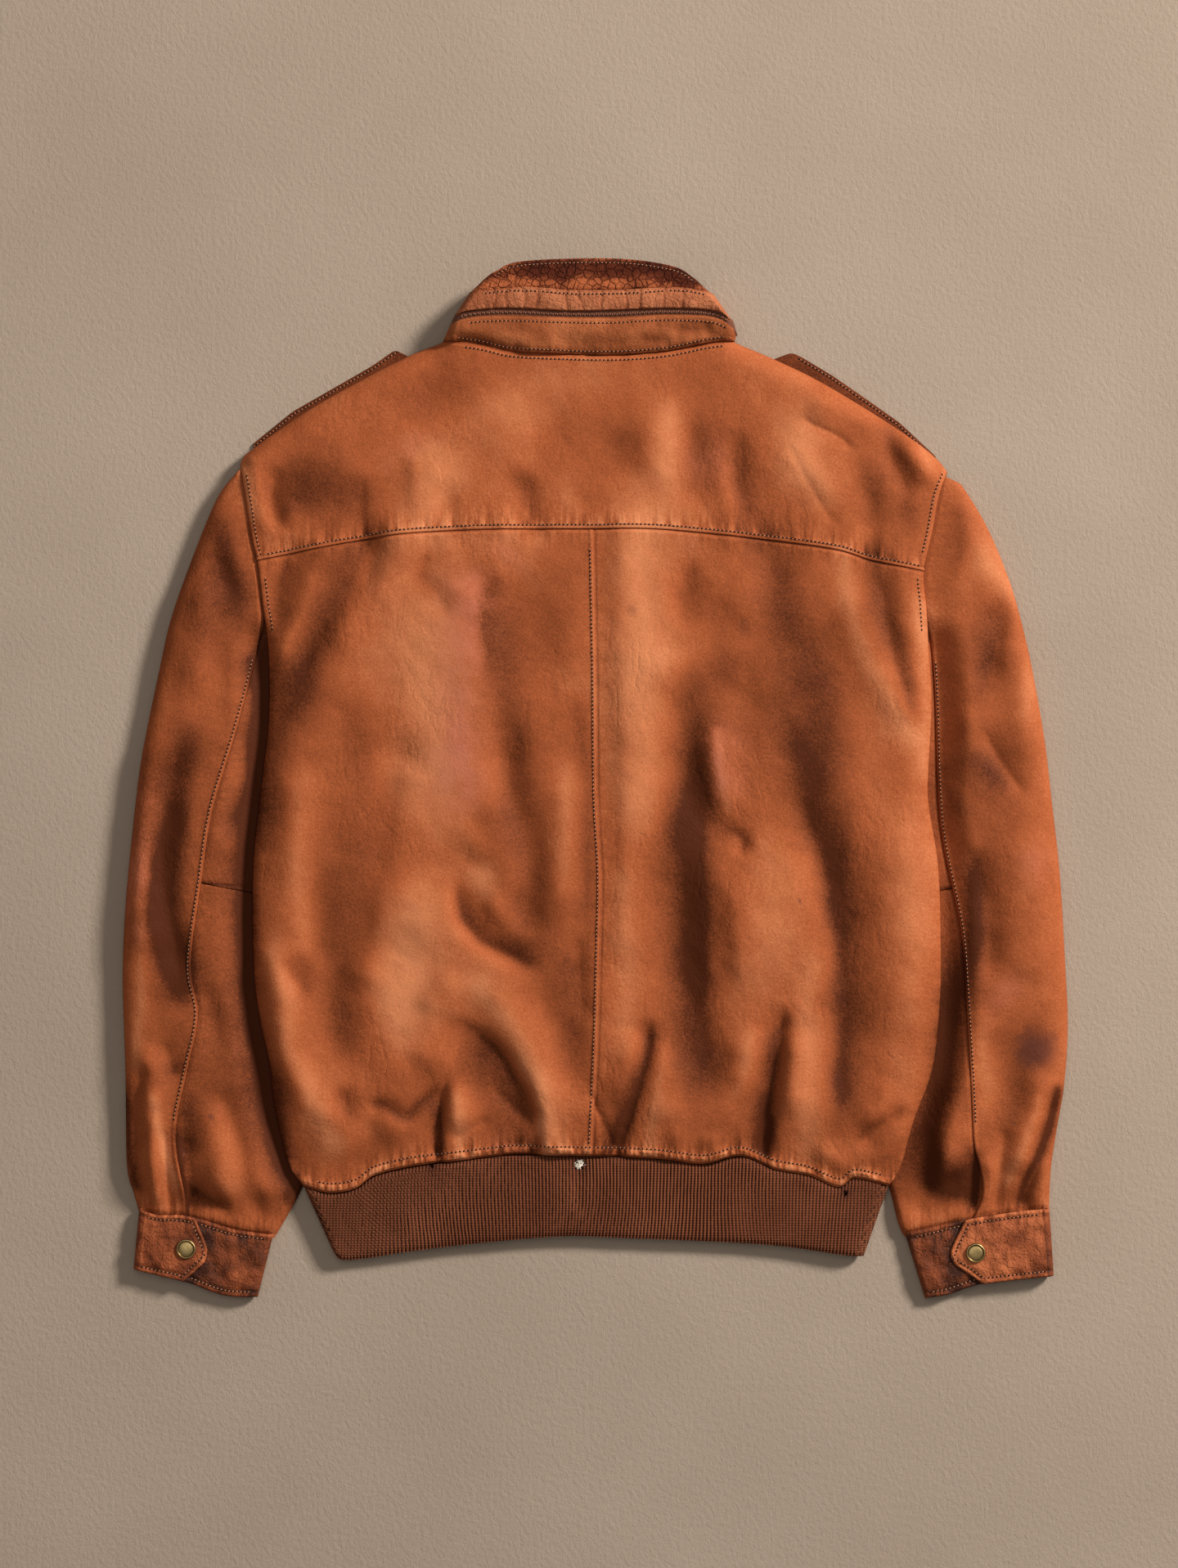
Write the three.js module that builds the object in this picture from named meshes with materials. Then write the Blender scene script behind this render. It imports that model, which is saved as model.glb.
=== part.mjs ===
// A worn leather blouson, laid flat on its front with its back up.
// Millimetres, +Z up, +Y towards the collar; the origin is on the surface below the middle.
// The left pieces are the wearer's left, on the -X side.
import * as THREE from 'three';

// ---- Driving dimensions ----
const LEATHER = 1.7; // one layer of leather
const FOLDED_LEATHER = 2.2; // cuffs, collar and straps, turned and stitched
const KNIT = 2.4; // the knitted waistband
const SEAM_GAP = 0.4; // between pieces that are sewn edge to edge
const CENTRE_GAP = 0.55; // between the two halves of the back, whose seam is bent
const ELBOW_GAP = 1.0; // between the two halves of an under sleeve, where their rims lean in
const ARMHOLE_INSET = 0.35; // how far the yoke's ends stay inside the armhole seam
const BODY_LOFT = 21; // height of the back over the floor
const SLEEVE_LOFT = 19;
const ARMHOLE_LOFT = 16.5;
const HEM_LOFT = 13;
const CUFF_LOFT = 9; // under half of a cuff
const TAB_LOFT = 11.8; // its pointed half, which lies on top
const TUCKED_SLEEVE = 6.2; // where the body lies on the sleeve
const FRONT_OVER_SLEEVE = 7.0; // underside of a front where it crosses the sleeve
const FRONT_OVER_STRAP = 2.5; // and where it crosses the shoulder strap
const SIDE_ROLL = 26; // how far in from the side the back reaches its full height
const SHOULDER_ROLL = 18;
const SLEEVE_ROLL = 24;
const FOLD_RIM = 1.6; // the back's edge stands this far above the front that it meets
const DEEPEST_FOLD = -8;
// Stretches of Y over which one shape passes into the next, from its start to its end
const UNDERARM = [128, 98]; // the body leaves the armhole seam and lies on the sleeve
const HEM_TAPER = [-250, -300]; // the back sinks to the waistband
const HEM_CALM = [-300, -270]; // folds die out above the waistband
const CUFF_TAPER = [-285, -328]; // the sleeve sinks to its cuff
const CUFF_CALM = [-335, -320];
const CUFF_JOIN = [-312, -326]; // all of the sleeve's width is level with the cuff
const NECK_RISE = [290, 330]; // the yoke rises to the collar
const ARMPIT_FRONT = [145, 112]; // the front climbs on to the sleeve
// Distances from an edge over which one shape passes into the next
const NECK_SIDE = 26;
const NECK_BEYOND = 8;
const FRONT_STEP = [46, 22];
const STRAP_STEP = [74, 56];
const SLEEVE_RISE = [2, 30];
const SNAP_RADIUS = 7.5;
const SNAP_HEIGHT = 2.4;
const FLY = { width: 44, low: -300, high: 236, thick: 1.6 };

// ---- Outlines, as [x, y] ----
const LEFT = {
  sign: -1,
  // body edge from the shoulder down the armhole seam and the side fold to the hem
  bodyEdge: [[-272, 243], [-267, 211], [-263, 185], [-259, 167], [-255, 135], [-251, 106], [-250, 50],
    [-255, 4], [-262, -62], [-262, -140], [-257, -183], [-250, -215], [-246, -248], [-235, -293], [-224, -310]],
  sleeveEdge: [[-275, 235], [-288, 219], [-303, 185], [-324, 127], [-334, 84], [-347, 20], [-354, -35],
    [-360, -99], [-362, -154], [-360, -219], [-359, -290], [-354, -312], [-350, -326]],
  // top edge of the outer sleeve: the armhole seam, then the seam at the back of the arm
  backSeam: [[-272, 243], [-267.4, 211], [-263.4, 185], [-259.4, 167], [-255.4, 135], [-257, 107], [-273, 41],
    [-292, -22], [-301, -80], [-309, -140], [-303, -180], [-312, -224], [-320, -270], [-313, -317], [-313, -331]],
  // the same two seams on the hidden side
  frontSeam: [[-272, 243], [-263.4, 185], [-255.4, 135], [-256, 107], [-268, 60], [-284, 0], [-290, -80],
    [-292, -160], [-292, -250], [-297, -336]],
  innerEdge: [[-246, 80], [-225, 40], [-208, -20], [-200, -80], [-200, -140], [-205, -200], [-213, -260],
    [-221, -296], [-227, -312], [-239, -332], [-247, -345]],
  shoulder: [[-272, 243], [-265, 252], [-224, 281], [-182, 305], [-143, 325], [-117, 335]],
  strap: [[-262, 254], [-230, 280], [-209, 292], [-169, 315], [-152, 327], [-136, 321], [-134, 306],
    [-190, 254], [-238, 220]],
  cuffTop: [[-349.5, -327.5], [-335, -332], [-312, -333], [-276, -343.5], [-247, -347.5]],
  cuffEnd: [[-354, -374], [-333, -379], [-313, -384], [-285, -394], [-259, -395.5]],
  tabReach: [0.42, 0.585, 0.41],
  snap: [-313, -358],
};
const RIGHT = {
  sign: 1,
  bodyEdge: [[269, 236], [262, 217], [257, 190], [250.5, 159], [252, 135], [254, 106], [257, 60], [254, 0],
    [255, -22], [262, -68], [264, -141], [262, -184], [257, -222], [243, -261], [233, -295], [224, -310]],
  sleeveEdge: [[272, 234], [279, 227], [298, 196], [314, 159], [324, 127], [333, 88], [343, 32], [349, -18],
    [355, -74], [359, -141], [361, -189], [358, -235], [352, -270], [348, -295], [347, -326]],
  backSeam: [[269, 236], [262.4, 217], [257.4, 190], [250.9, 159], [252.4, 135], [256, 107], [259, 60],
    [261, -8], [265, -48], [278, -114], [282, -169], [286, -244], [288, -278], [295, -309], [287, -333]],
  frontSeam: [[269, 236], [257.4, 190], [252.4, 135], [256, 107], [266, 60], [276, 0], [282, -80],
    [285, -160], [285, -250], [283, -336]],
  innerEdge: [[246, 80], [228, 40], [210, -20], [202, -80], [202, -140], [206, -200], [213, -260],
    [221, -296], [226, -312], [232, -334], [237, -344]],
  shoulder: [[269, 236], [261, 246], [245, 259], [220, 276], [172, 305], [135, 323], [106, 335]],
  strap: [[262, 247], [235, 277], [211, 294], [182, 310], [157, 325], [150, 328], [131, 321], [129, 306],
    [186, 254], [236, 214]],
  cuffTop: [[347, -327.5], [322, -329.5], [287, -335], [254, -342.5], [236.5, -346.5]],
  cuffEnd: [[350.5, -379], [322, -382], [292, -386], [271, -393], [252, -396.5]],
  tabReach: [0.58, 0.77, 0.55],
  snap: [290, -361],
};
const YOKE_SEAM = [[-259, 167], [-209, 177], [-156, 186], [-103, 190], [-51, 191], [-2, 191], [45, 191],
  [101, 186], [145, 181], [185, 175], [211, 167], [250.5, 159]];
const CENTRE_SEAM = [[-2, 191], [0, 84], [1, -12], [4, -71], [3, -131], [1, -203], [-3, -287]];
const HEM = [[-224, -310], [-204, -315], [-184, -312], [-169, -302], [-142, -295], [-117, -292],
  [-84, -288], [-59, -286], [-3, -287], [49, -289], [82, -293], [110, -287], [136, -297], [163, -302],
  [185, -311], [198, -304], [224, -310]];
const RIB_END = [[-201, -361], [-189, -367], [-125, -358], [-33, -349], [22, -350], [128, -355],
  [189, -363], [205, -364]];
const FRONT_HEM = -309.6;

// collar levels from the neck seam up: seam lines across the back, their height, and where they
// cross the hidden centre front
const COLLAR = [
  { line: [[-117, 335], [-88, 331], [-66, 326], [-36, 324], [14, 323], [54, 326], [84, 332], [106, 335]],
    height: 22.5, centreFront: 285 },
  { line: [[-111.5, 347], [-95, 352], [-66, 353.5], [-20, 352], [14, 352], [54, 354], [90, 352], [107.5, 341.5]],
    height: 27.5, centreFront: 311 },
  { line: [[-108.5, 353.5], [-95, 356.5], [-66, 358.5], [-20, 356.5], [14, 357], [54, 358.5], [90, 356.5],
    [105.5, 348]], height: 28.5, centreFront: 316 },
  { line: [[-97, 371], [-56, 374], [-16, 371.5], [24, 372], [64, 374], [91, 369]], height: 29,
    centreFront: 331 },
  { line: [[-88, 380], [-76, 388], [-55, 395.5], [13, 397.5], [57, 392], [74, 383], [84, 374]], height: 21,
    centreFront: 352 },
];

// ---- Folds and creases: a soft trough or ridge along a path ----
const FOLDS = [
  { path: [[-49, 150], [-60, 60], [-60, -24], [-84, -62]], half: 26, lift: -5 },
  { path: [[-150, 60], [-118, -20], [-96, -55], [-84, -95]], half: 22, lift: 4 },
  { path: [[-104, -74], [-98, -108], [-80, -128], [-50, -139], [-28, -130]], half: 15, lift: -6 },
  { path: [[-124, -165], [-90, -203], [-53, -245]], half: 18, lift: -5 },
  { path: [[-110, -125], [-70, -185], [-36, -260]], half: 17, lift: 5 },
  { path: [[-14, -110], [-16, -180], [-18, -235]], half: 15, lift: -4 },
  { path: [[-213, 5], [-226, -84], [-222, -140], [-205, -225]], half: 20, lift: 4 },
  { path: [[-213, -60], [-214, -122], [-200, -175], [-170, -228]], half: 15, lift: -5 },
  { path: [[-117, -215], [-120, -260], [-123, -282]], half: 12, lift: 4 },
  { path: [[62, 80], [64, -12], [85, -43], [110, -52]], half: 24, lift: -5 },
  { path: [[54, -69], [64, -120], [76, -170], [92, -246]], half: 18, lift: -5 },
  { path: [[97, -74], [98, -120], [112, -200]], half: 18, lift: 4 },
  { path: [[150, 0], [173, -84], [190, -150], [193, -263]], half: 20, lift: -5 },
  { path: [[142, -170], [136, -220], [130, -270]], half: 12, lift: 5 },
  { path: [[41, -170], [30, -234], [18, -275]], half: 12, lift: 4 },
  { path: [[243, -240], [220, -280], [196, -304]], half: 14, lift: 4 },
  { path: [[180, 290], [168, 262], [150, 225]], half: 20, lift: 4 },
  { path: [[228, 280], [222, 250], [200, 215]], half: 16, lift: -3 },
  { path: [[-150, 300], [-120, 250], [-112, 200]], half: 26, lift: -3 },
  { path: [[-317, 20], [-331, -44], [-327, -100], [-318, -160]], half: 13, lift: -4 },
  { path: [[-296, 190], [-284, 150], [-270, 130]], half: 14, lift: -3 },
  { path: [[-323, -200], [-340, -240], [-340, -290]], half: 9, lift: 2.5 },
  { path: [[-354, -262], [-351, -300], [-347, -324]], half: 5, lift: -4 },
  { path: [[310, 145], [314, 120], [298, 60]], half: 13, lift: -4 },
  { path: [[287, -50], [299, -98], [300, -150]], half: 13, lift: -4 },
  { path: [[346, -255], [336, -290], [326, -326]], half: 6, lift: -4 },
];

// ---- Small helpers ----
const { clamp, lerp } = THREE.MathUtils;

function ease(from, to, value) {
  const t = clamp((value - from) / (to - from), 0, 1);
  return t * t * (3 - 2 * t);
}

// Height of a rounded edge, 0 on the edge and 1 from `reach` inwards.
function roll(distance, reach) {
  const t = clamp(1 - distance / reach, 0, 1);
  return Math.sqrt(1 - t * t);
}

// The other coordinate of an outline where its coordinate `key` has this value.
function crossing(outline, key, value) {
  const rising = outline[outline.length - 1][key] > outline[0][key];
  const ordered = rising ? outline : [...outline].reverse();
  let i = 1;
  while (i < ordered.length - 1 && ordered[i][key] < value) i += 1;
  const [a, b] = [ordered[i - 1], ordered[i]];
  const t = clamp((value - a[key]) / (b[key] - a[key]), 0, 1);
  return lerp(a[1 - key], b[1 - key], t);
}

const xAt = (outline, y) => crossing(outline, 1, y);
const yAt = (outline, x) => crossing(outline, 0, x);

// A point at a share of an outline's length.
function travel(outline, share) {
  const steps = outline.slice(1).map((p, i) => Math.hypot(p[0] - outline[i][0], p[1] - outline[i][1]));
  let left = share * steps.reduce((sum, step) => sum + step, 0);
  let i = 0;
  while (i < steps.length - 1 && left > steps[i]) {
    left -= steps[i];
    i += 1;
  }
  const t = left / steps[i];
  return [lerp(outline[i][0], outline[i + 1][0], t), lerp(outline[i][1], outline[i + 1][1], t)];
}

const mix = (a, b, t) => a.map((value, i) => lerp(value, b[i], t));

// Distance from a path, and the share of the path where it is nearest.
function nearest(path, x, y) {
  let best = { distance: Infinity, share: 0 };
  for (let i = 0; i < path.length - 1; i += 1) {
    const [[ax, ay], [bx, by]] = [path[i], path[i + 1]];
    const [dx, dy] = [bx - ax, by - ay];
    const t = clamp(((x - ax) * dx + (y - ay) * dy) / (dx * dx + dy * dy), 0, 1);
    const distance = Math.hypot(x - ax - t * dx, y - ay - t * dy);
    if (distance < best.distance) best = { distance, share: (i + t) / (path.length - 1) };
  }
  return best;
}

function foldLift(x, y) {
  let lift = 0;
  for (const fold of FOLDS) {
    const { distance, share } = nearest(fold.path, x, y);
    const ends = ease(0, 0.25, share) * ease(1, 0.75, share);
    const wide = distance / fold.half;
    lift += fold.lift * (0.25 + 0.75 * ends) * Math.exp(-wide * wide);
  }
  return Math.max(lift, DEEPEST_FOLD);
}

// ---- Heights of the upper and lower layers ----
const sideOf = (x) => (x < 0 ? LEFT : RIGHT);
const insideOf = (side, outline, x, y) => side.sign * (xAt(outline, y) - x);
const overSleeve = (y) => ease(...UNDERARM, y);

function bodyTop(x, y) {
  const side = sideOf(x);
  const full = lerp(BODY_LOFT, HEM_LOFT, ease(...HEM_TAPER, y)) + foldLift(x, y) * ease(...HEM_CALM, y);
  const sideFold = FRONT_OVER_SLEEVE + LEATHER + FOLD_RIM;
  const edge = lerp(ARMHOLE_LOFT, sideFold, overSleeve(y));
  const height = edge + (full - edge) * roll(insideOf(side, side.bodyEdge, x, y), SIDE_ROLL);
  const shoulderFold = FRONT_OVER_STRAP + LEATHER + FOLD_RIM;
  const fromShoulder = nearest(side.shoulder, x, y).distance;
  return shoulderFold + (height - shoulderFold) * roll(fromShoulder, SHOULDER_ROLL);
}

// The yoke rolls over the shoulders but meets the collar at its full height.
function yokeTop(x, y) {
  const neckEnd = x < 0 ? COLLAR[0].line[0][0] : COLLAR[0].line.at(-1)[0];
  const inNeck = ease(0, NECK_SIDE, Math.abs(neckEnd) + NECK_BEYOND - Math.abs(x)) * ease(...NECK_RISE, y);
  const neck = lerp(BODY_LOFT, COLLAR[0].height, ease(...NECK_RISE, y));
  return lerp(bodyTop(x, y), neck, inNeck);
}

function sleeveTop(side, x, y) {
  const outward = -insideOf(side, side.bodyEdge, x, y);
  const full = lerp(SLEEVE_LOFT, CUFF_LOFT, ease(...CUFF_TAPER, y)) + foldLift(x, y) * ease(...CUFF_CALM, y);
  const tucked = lerp(ARMHOLE_LOFT, TUCKED_SLEEVE, overSleeve(y));
  const near = lerp(tucked, full, ease(...CUFF_JOIN, y));
  const height = near + (full - near) * ease(...SLEEVE_RISE, outward);
  const cap = side.bodyEdge[0];
  const shoulderFold = FRONT_OVER_STRAP + LEATHER + FOLD_RIM;
  return shoulderFold + (height - shoulderFold) * roll(cap[1] - y + 4, SHOULDER_ROLL + 4);
}

function frontUnderside(x, y) {
  const side = sideOf(x);
  const beyond = -insideOf(side, side.innerEdge, x, y);
  const crossingSleeve = FRONT_OVER_SLEEVE * ease(...FRONT_STEP, -beyond) * ease(...ARMPIT_FRONT, y);
  const crossingStrap = FRONT_OVER_STRAP * ease(...STRAP_STEP, nearest(side.shoulder, x, y).distance);
  return Math.max(crossingSleeve, crossingStrap);
}

// ---- Walls of cloth ----
// A sheet is rows of points on a piece's outer face, with the way out at each of them.
// `facing` is 1 where (along a row) x (to the next row) points out, and -1 where it points in.
function makeSheet(rows, facing = 1) {
  const points = rows.map((row) => row.map((p) => new THREE.Vector3(...p)));
  const normals = points.map((row, i) => row.map((_, j) => {
    const along = row[Math.min(j + 1, row.length - 1)].clone().sub(row[Math.max(j - 1, 0)]);
    const next = points[Math.min(i + 1, points.length - 1)][j].clone().sub(points[Math.max(i - 1, 0)][j]);
    return along.cross(next).normalize().multiplyScalar(facing);
  }));
  return { points, normals, facing };
}

// Two sheets sewn together at a point have one way out there, so their walls stay side by side.
function shareNormal(sheetA, [rowA, columnA], sheetB, [rowB, columnB]) {
  const shared = sheetA.normals[rowA][columnA].clone().add(sheetB.normals[rowB][columnB]).normalize();
  sheetA.normals[rowA][columnA].copy(shared);
  sheetB.normals[rowB][columnB].copy(shared);
}

// The closed wall of one thickness behind some rows of a sheet.
function wallOf(sheet, thickness, firstRow = 0, endRow = sheet.points.length) {
  const outer = sheet.points.slice(firstRow, endRow);
  const inner = outer.map((row, i) => row.map((point, j) => (
    point.clone().addScaledVector(sheet.normals[firstRow + i][j], -thickness)
  )));
  const tall = outer.length;
  const wide = outer[0].length;
  const at = (face, i, j) => face * tall * wide + i * wide + j;
  const index = [];
  const quad = (a, b, c, d) => index.push(...(sheet.facing > 0 ? [a, b, c, a, c, d] : [c, b, a, d, c, a]));
  for (let i = 0; i < tall - 1; i += 1) {
    for (let j = 0; j < wide - 1; j += 1) {
      quad(at(0, i, j), at(0, i, j + 1), at(0, i + 1, j + 1), at(0, i + 1, j));
      quad(at(1, i, j), at(1, i + 1, j), at(1, i + 1, j + 1), at(1, i, j + 1));
    }
    quad(at(0, i + 1, 0), at(1, i + 1, 0), at(1, i, 0), at(0, i, 0));
    quad(at(0, i, wide - 1), at(1, i, wide - 1), at(1, i + 1, wide - 1), at(0, i + 1, wide - 1));
  }
  for (let j = 0; j < wide - 1; j += 1) {
    quad(at(0, 0, j), at(1, 0, j), at(1, 0, j + 1), at(0, 0, j + 1));
    quad(at(0, tall - 1, j + 1), at(1, tall - 1, j + 1), at(1, tall - 1, j), at(0, tall - 1, j));
  }
  const points = [...outer.flat(), ...inner.flat()];
  const geometry = new THREE.BufferGeometry();
  geometry.setAttribute('position', new THREE.Float32BufferAttribute(points.flatMap((p) => p.toArray()), 3));
  geometry.setIndex(index);
  geometry.computeVertexNormals();
  return geometry;
}

const clothWall = (rows, thickness, facing = 1) => wallOf(makeSheet(rows, facing), thickness);

// A patch between four edges; each edge is a function of its share from 0 to 1.
function patch(low, high, left, right, u, v) {
  const corner = mix(mix(low(0), low(1), u), mix(high(0), high(1), u), v);
  const across = mix(left(v), right(v), u);
  const upward = mix(low(u), high(u), v);
  return across.map((value, i) => value + upward[i] - corner[i]);
}

const leather = (colour, roughness) => new THREE.MeshStandardMaterial({ color: colour, roughness, metalness: 0 });
const jacket = new THREE.Group();
jacket.name = 'worn_leather_jacket';

function addPiece(name, geometry, material) {
  const piece = new THREE.Mesh(geometry, material);
  piece.name = name;
  jacket.add(piece);
  return piece;
}

const TAN = 0xa85635;
const DARK_TAN = 0x7a4326;
const RIB_BROWN = 0x6d3f2d;
const BRASS = 0x79603e;

// ---- Yoke and back panels ----
// Shares of the half width from the side to the centre: close together where the side rolls over.
const HALF_COLUMNS = [0, 0.015, 0.045, 0.1, 0.18, 0.28, 0.39, 0.55, 0.68, 0.8, 0.9, 1];
const NECK_SHARE = 0.55;
const YOKE_ROWS = [0, 0.22, 0.46, 0.7, 0.86, 0.95, 0.985, 1];
const BACK_ROWS = 18;

// A point of the yoke's upper edge: along the shoulder, then along the neck seam to the middle.
function yokeUpperEdge(side, share) {
  if (share < NECK_SHARE) return travel(side.shoulder, share / NECK_SHARE);
  const neckEnd = side.shoulder.at(-1)[0];
  const x = lerp(neckEnd, CENTRE_SEAM[0][0], (share - NECK_SHARE) / (1 - NECK_SHARE));
  return [x, yAt(COLLAR[0].line, x)];
}

function yokeSeamPoint(side, share) {
  const end = side.sign < 0 ? YOKE_SEAM[0] : YOKE_SEAM.at(-1);
  const x = lerp(end[0], CENTRE_SEAM[0][0], share);
  return [x, yAt(YOKE_SEAM, x)];
}

function yokeHalf(side, share, v) {
  const [start, end] = [yokeSeamPoint(side, 0), yokeUpperEdge(side, 0)];
  const armhole = (t) => {
    const y = lerp(start[1], end[1], t);
    return [xAt(side.bodyEdge, y) - side.sign * ARMHOLE_INSET, y];
  };
  const middle = (t) => mix(yokeSeamPoint(side, 1), yokeUpperEdge(side, 1), t);
  return patch((u) => yokeSeamPoint(side, u), (u) => yokeUpperEdge(side, u), armhole, middle, share, v);
}

function makeYoke() {
  const leftHalf = HALF_COLUMNS.map((share) => [LEFT, share]);
  const rightHalf = [...HALF_COLUMNS].reverse().slice(1).map((share) => [RIGHT, share]);
  const rows = YOKE_ROWS.map((v) => [...leftHalf, ...rightHalf].map(([side, share]) => {
    const [x, y] = yokeHalf(side, share, v);
    return [x, y + lerp(SEAM_GAP, 0, v), yokeTop(x, y)];
  }));
  addPiece('yoke_back', clothWall(rows, LEATHER), leather(TAN, 0.75));
}

function hemPoint(side, share) {
  const corner = side.sign < 0 ? HEM[0] : HEM.at(-1);
  const x = lerp(corner[0], CENTRE_SEAM.at(-1)[0], share);
  return [x, yAt(HEM, x)];
}

function makeBackPanel(name, side) {
  const seamEnd = yokeSeamPoint(side, 0);
  const hemCorner = hemPoint(side, 0);
  const sideEdge = (v) => {
    const y = lerp(hemCorner[1], seamEnd[1], v);
    return [xAt(side.bodyEdge, y), y];
  };
  const centre = (v) => {
    const y = lerp(CENTRE_SEAM.at(-1)[1], CENTRE_SEAM[0][1], v);
    return [xAt(CENTRE_SEAM, y) + side.sign * CENTRE_GAP / 2, y];
  };
  const rows = [];
  for (let i = 0; i <= BACK_ROWS; i += 1) {
    const v = i / BACK_ROWS;
    rows.push(HALF_COLUMNS.map((share) => {
      const [x, y] = patch((u) => hemPoint(side, u), (u) => yokeSeamPoint(side, u), sideEdge, centre, share, v);
      return [x, y, bodyTop(x, y)];
    }));
  }
  addPiece(name, clothWall(rows, LEATHER, -side.sign), leather(TAN, 0.75));
}

makeYoke();
makeBackPanel('back_left_panel', LEFT);
makeBackPanel('back_right_panel', RIGHT);

// ---- Fronts, face down on the floor, and the fly that closes them ----
const FRONT_ROWS = 12;
// Shares of the way from the centre front to a collar band's side fold, where the hidden half bends.
const FRONT_NECK = [0, 0.37, 0.7, 0.93];
const FRONT_SHOULDER_COLUMNS = [0, 0.06, 0.12, 0.18, 0.26, 0.36, 0.5];
const FRONT_COLUMNS = [...FRONT_SHOULDER_COLUMNS, ...[...FRONT_NECK].reverse().map((k) => 1 - k / 2)];

// The hidden neckline of the fronts at a collar level, from the side fold to the centre front.
function frontCollarY(level, x) {
  const end = x < 0 ? level.line[0] : level.line.at(-1);
  const share = x / end[0];
  return level.centreFront + (end[1] - level.centreFront) * share * share;
}

function makeFront(name, side) {
  const neckEnd = side.shoulder.at(-1);
  const closing = side.sign * SEAM_GAP / 2;
  const upperEdge = (share) => {
    if (share < 0.5) return travel(side.shoulder, share / 0.5);
    const x = lerp(neckEnd[0], closing, (share - 0.5) / 0.5);
    return [x, frontCollarY(COLLAR[0], x) - SEAM_GAP * ease(0.5, 0.52, share)];
  };
  const hem = (share) => [lerp(side.sign * 222, closing, share), FRONT_HEM];
  const outerEdge = (v) => {
    const y = lerp(FRONT_HEM, side.shoulder[0][1], v);
    return [v === 0 ? hem(0)[0] : xAt(side.bodyEdge, y), y];
  };
  const centre = (v) => [closing, lerp(FRONT_HEM, upperEdge(1)[1], v)];
  const rows = [];
  for (let i = 0; i <= FRONT_ROWS; i += 1) {
    rows.push(FRONT_COLUMNS.map((share) => {
      const [x, y] = patch(hem, upperEdge, outerEdge, centre, share, i / FRONT_ROWS);
      return [x, y, frontUnderside(x, y)];
    }));
  }
  addPiece(name, clothWall(rows, LEATHER, side.sign), leather(TAN, 0.75));
}

makeFront('front_left_panel', LEFT);
makeFront('front_right_panel', RIGHT);

const flyShape = new THREE.BoxGeometry(FLY.width, FLY.high - FLY.low, FLY.thick);
const fly = addPiece('front_fly', flyShape, leather(DARK_TAN, 0.8));
fly.position.set(0, (FLY.high + FLY.low) / 2, LEATHER + SEAM_GAP + FLY.thick / 2);

// ---- Sleeves ----
const EDGE_HEIGHT = 0.42; // height of a folded edge's outermost line, as a share of the sleeve's
const UNDER_FOLD = 9; // how far in the folded edge meets the floor
const TO_THE_EDGE = [0, 0.3, 0.6, 0.82, 0.95, 1];
const UNDER_THE_EDGE = [30, 60, 90].map(THREE.MathUtils.degToRad);
// Rows down the arm, as shares of the way from the shoulder to the cuff: both pieces have them.
const SLEEVE_ROWS = [0, 0.04, 0.09, 0.135, 0.185, 0.234, 0.28, 0.335, 0.39, 0.445, 0.5, 0.557,
  0.61, 0.665, 0.72, 0.775, 0.83, 0.885, 0.94, 1];
const UNDERARM_ROW = 5;
const ELBOW_ROW = 11;

// One row of a sleeve piece: from a seam on top out to a folded edge, then back along the floor.
function sleeveRow(side, from, edge, to, { shares, reach, lowest }) {
  const away = Math.sign(edge[0] - from[0]);
  const rim = Math.max(lowest, EDGE_HEIGHT * sleeveTop(side, edge[0], edge[1]));
  const topPoints = shares.map((share) => {
    const [x, y] = mix(from, edge, share);
    return [x, y, rim + (sleeveTop(side, x, y) - rim) * roll(away * (edge[0] - x), reach)];
  });
  const inward = Math.min(UNDER_FOLD, 0.45 * Math.abs(edge[0] - to[0]));
  const underPoints = UNDER_THE_EDGE.map((angle) => {
    const x = edge[0] - away * inward * (1 - Math.cos(angle));
    return [x, edge[1], rim * (1 - Math.sin(angle))];
  });
  const [floorX, floorY] = underPoints.at(-1);
  const floorPoints = [0.5, 1].map((share) => [...mix([floorX, floorY], to, share), 0]);
  return [...topPoints, ...underPoints, ...floorPoints];
}

function lineAt(outline, fromY, toY, share) {
  const y = lerp(fromY, toY, share);
  return [xAt(outline, y), y];
}

const capOf = (side) => side.bodyEdge[0][1];
const seamPoint = (side, outline, v) => lineAt(outline, capOf(side) - 4, side.backSeam.at(-1)[1] + 1, v);

function outerSleeveRow(side, v) {
  const from = seamPoint(side, side.backSeam, v);
  const edge = lineAt(side.sleeveEdge, capOf(side) - 10, side.cuffTop[0][1] + 1.6, v);
  const to = seamPoint(side, side.frontSeam, v);
  const reach = Math.min(SLEEVE_ROLL, 0.9 * Math.abs(edge[0] - from[0]));
  return sleeveRow(side, from, edge, to, { shares: TO_THE_EDGE, reach, lowest: 2.4 });
}

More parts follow.
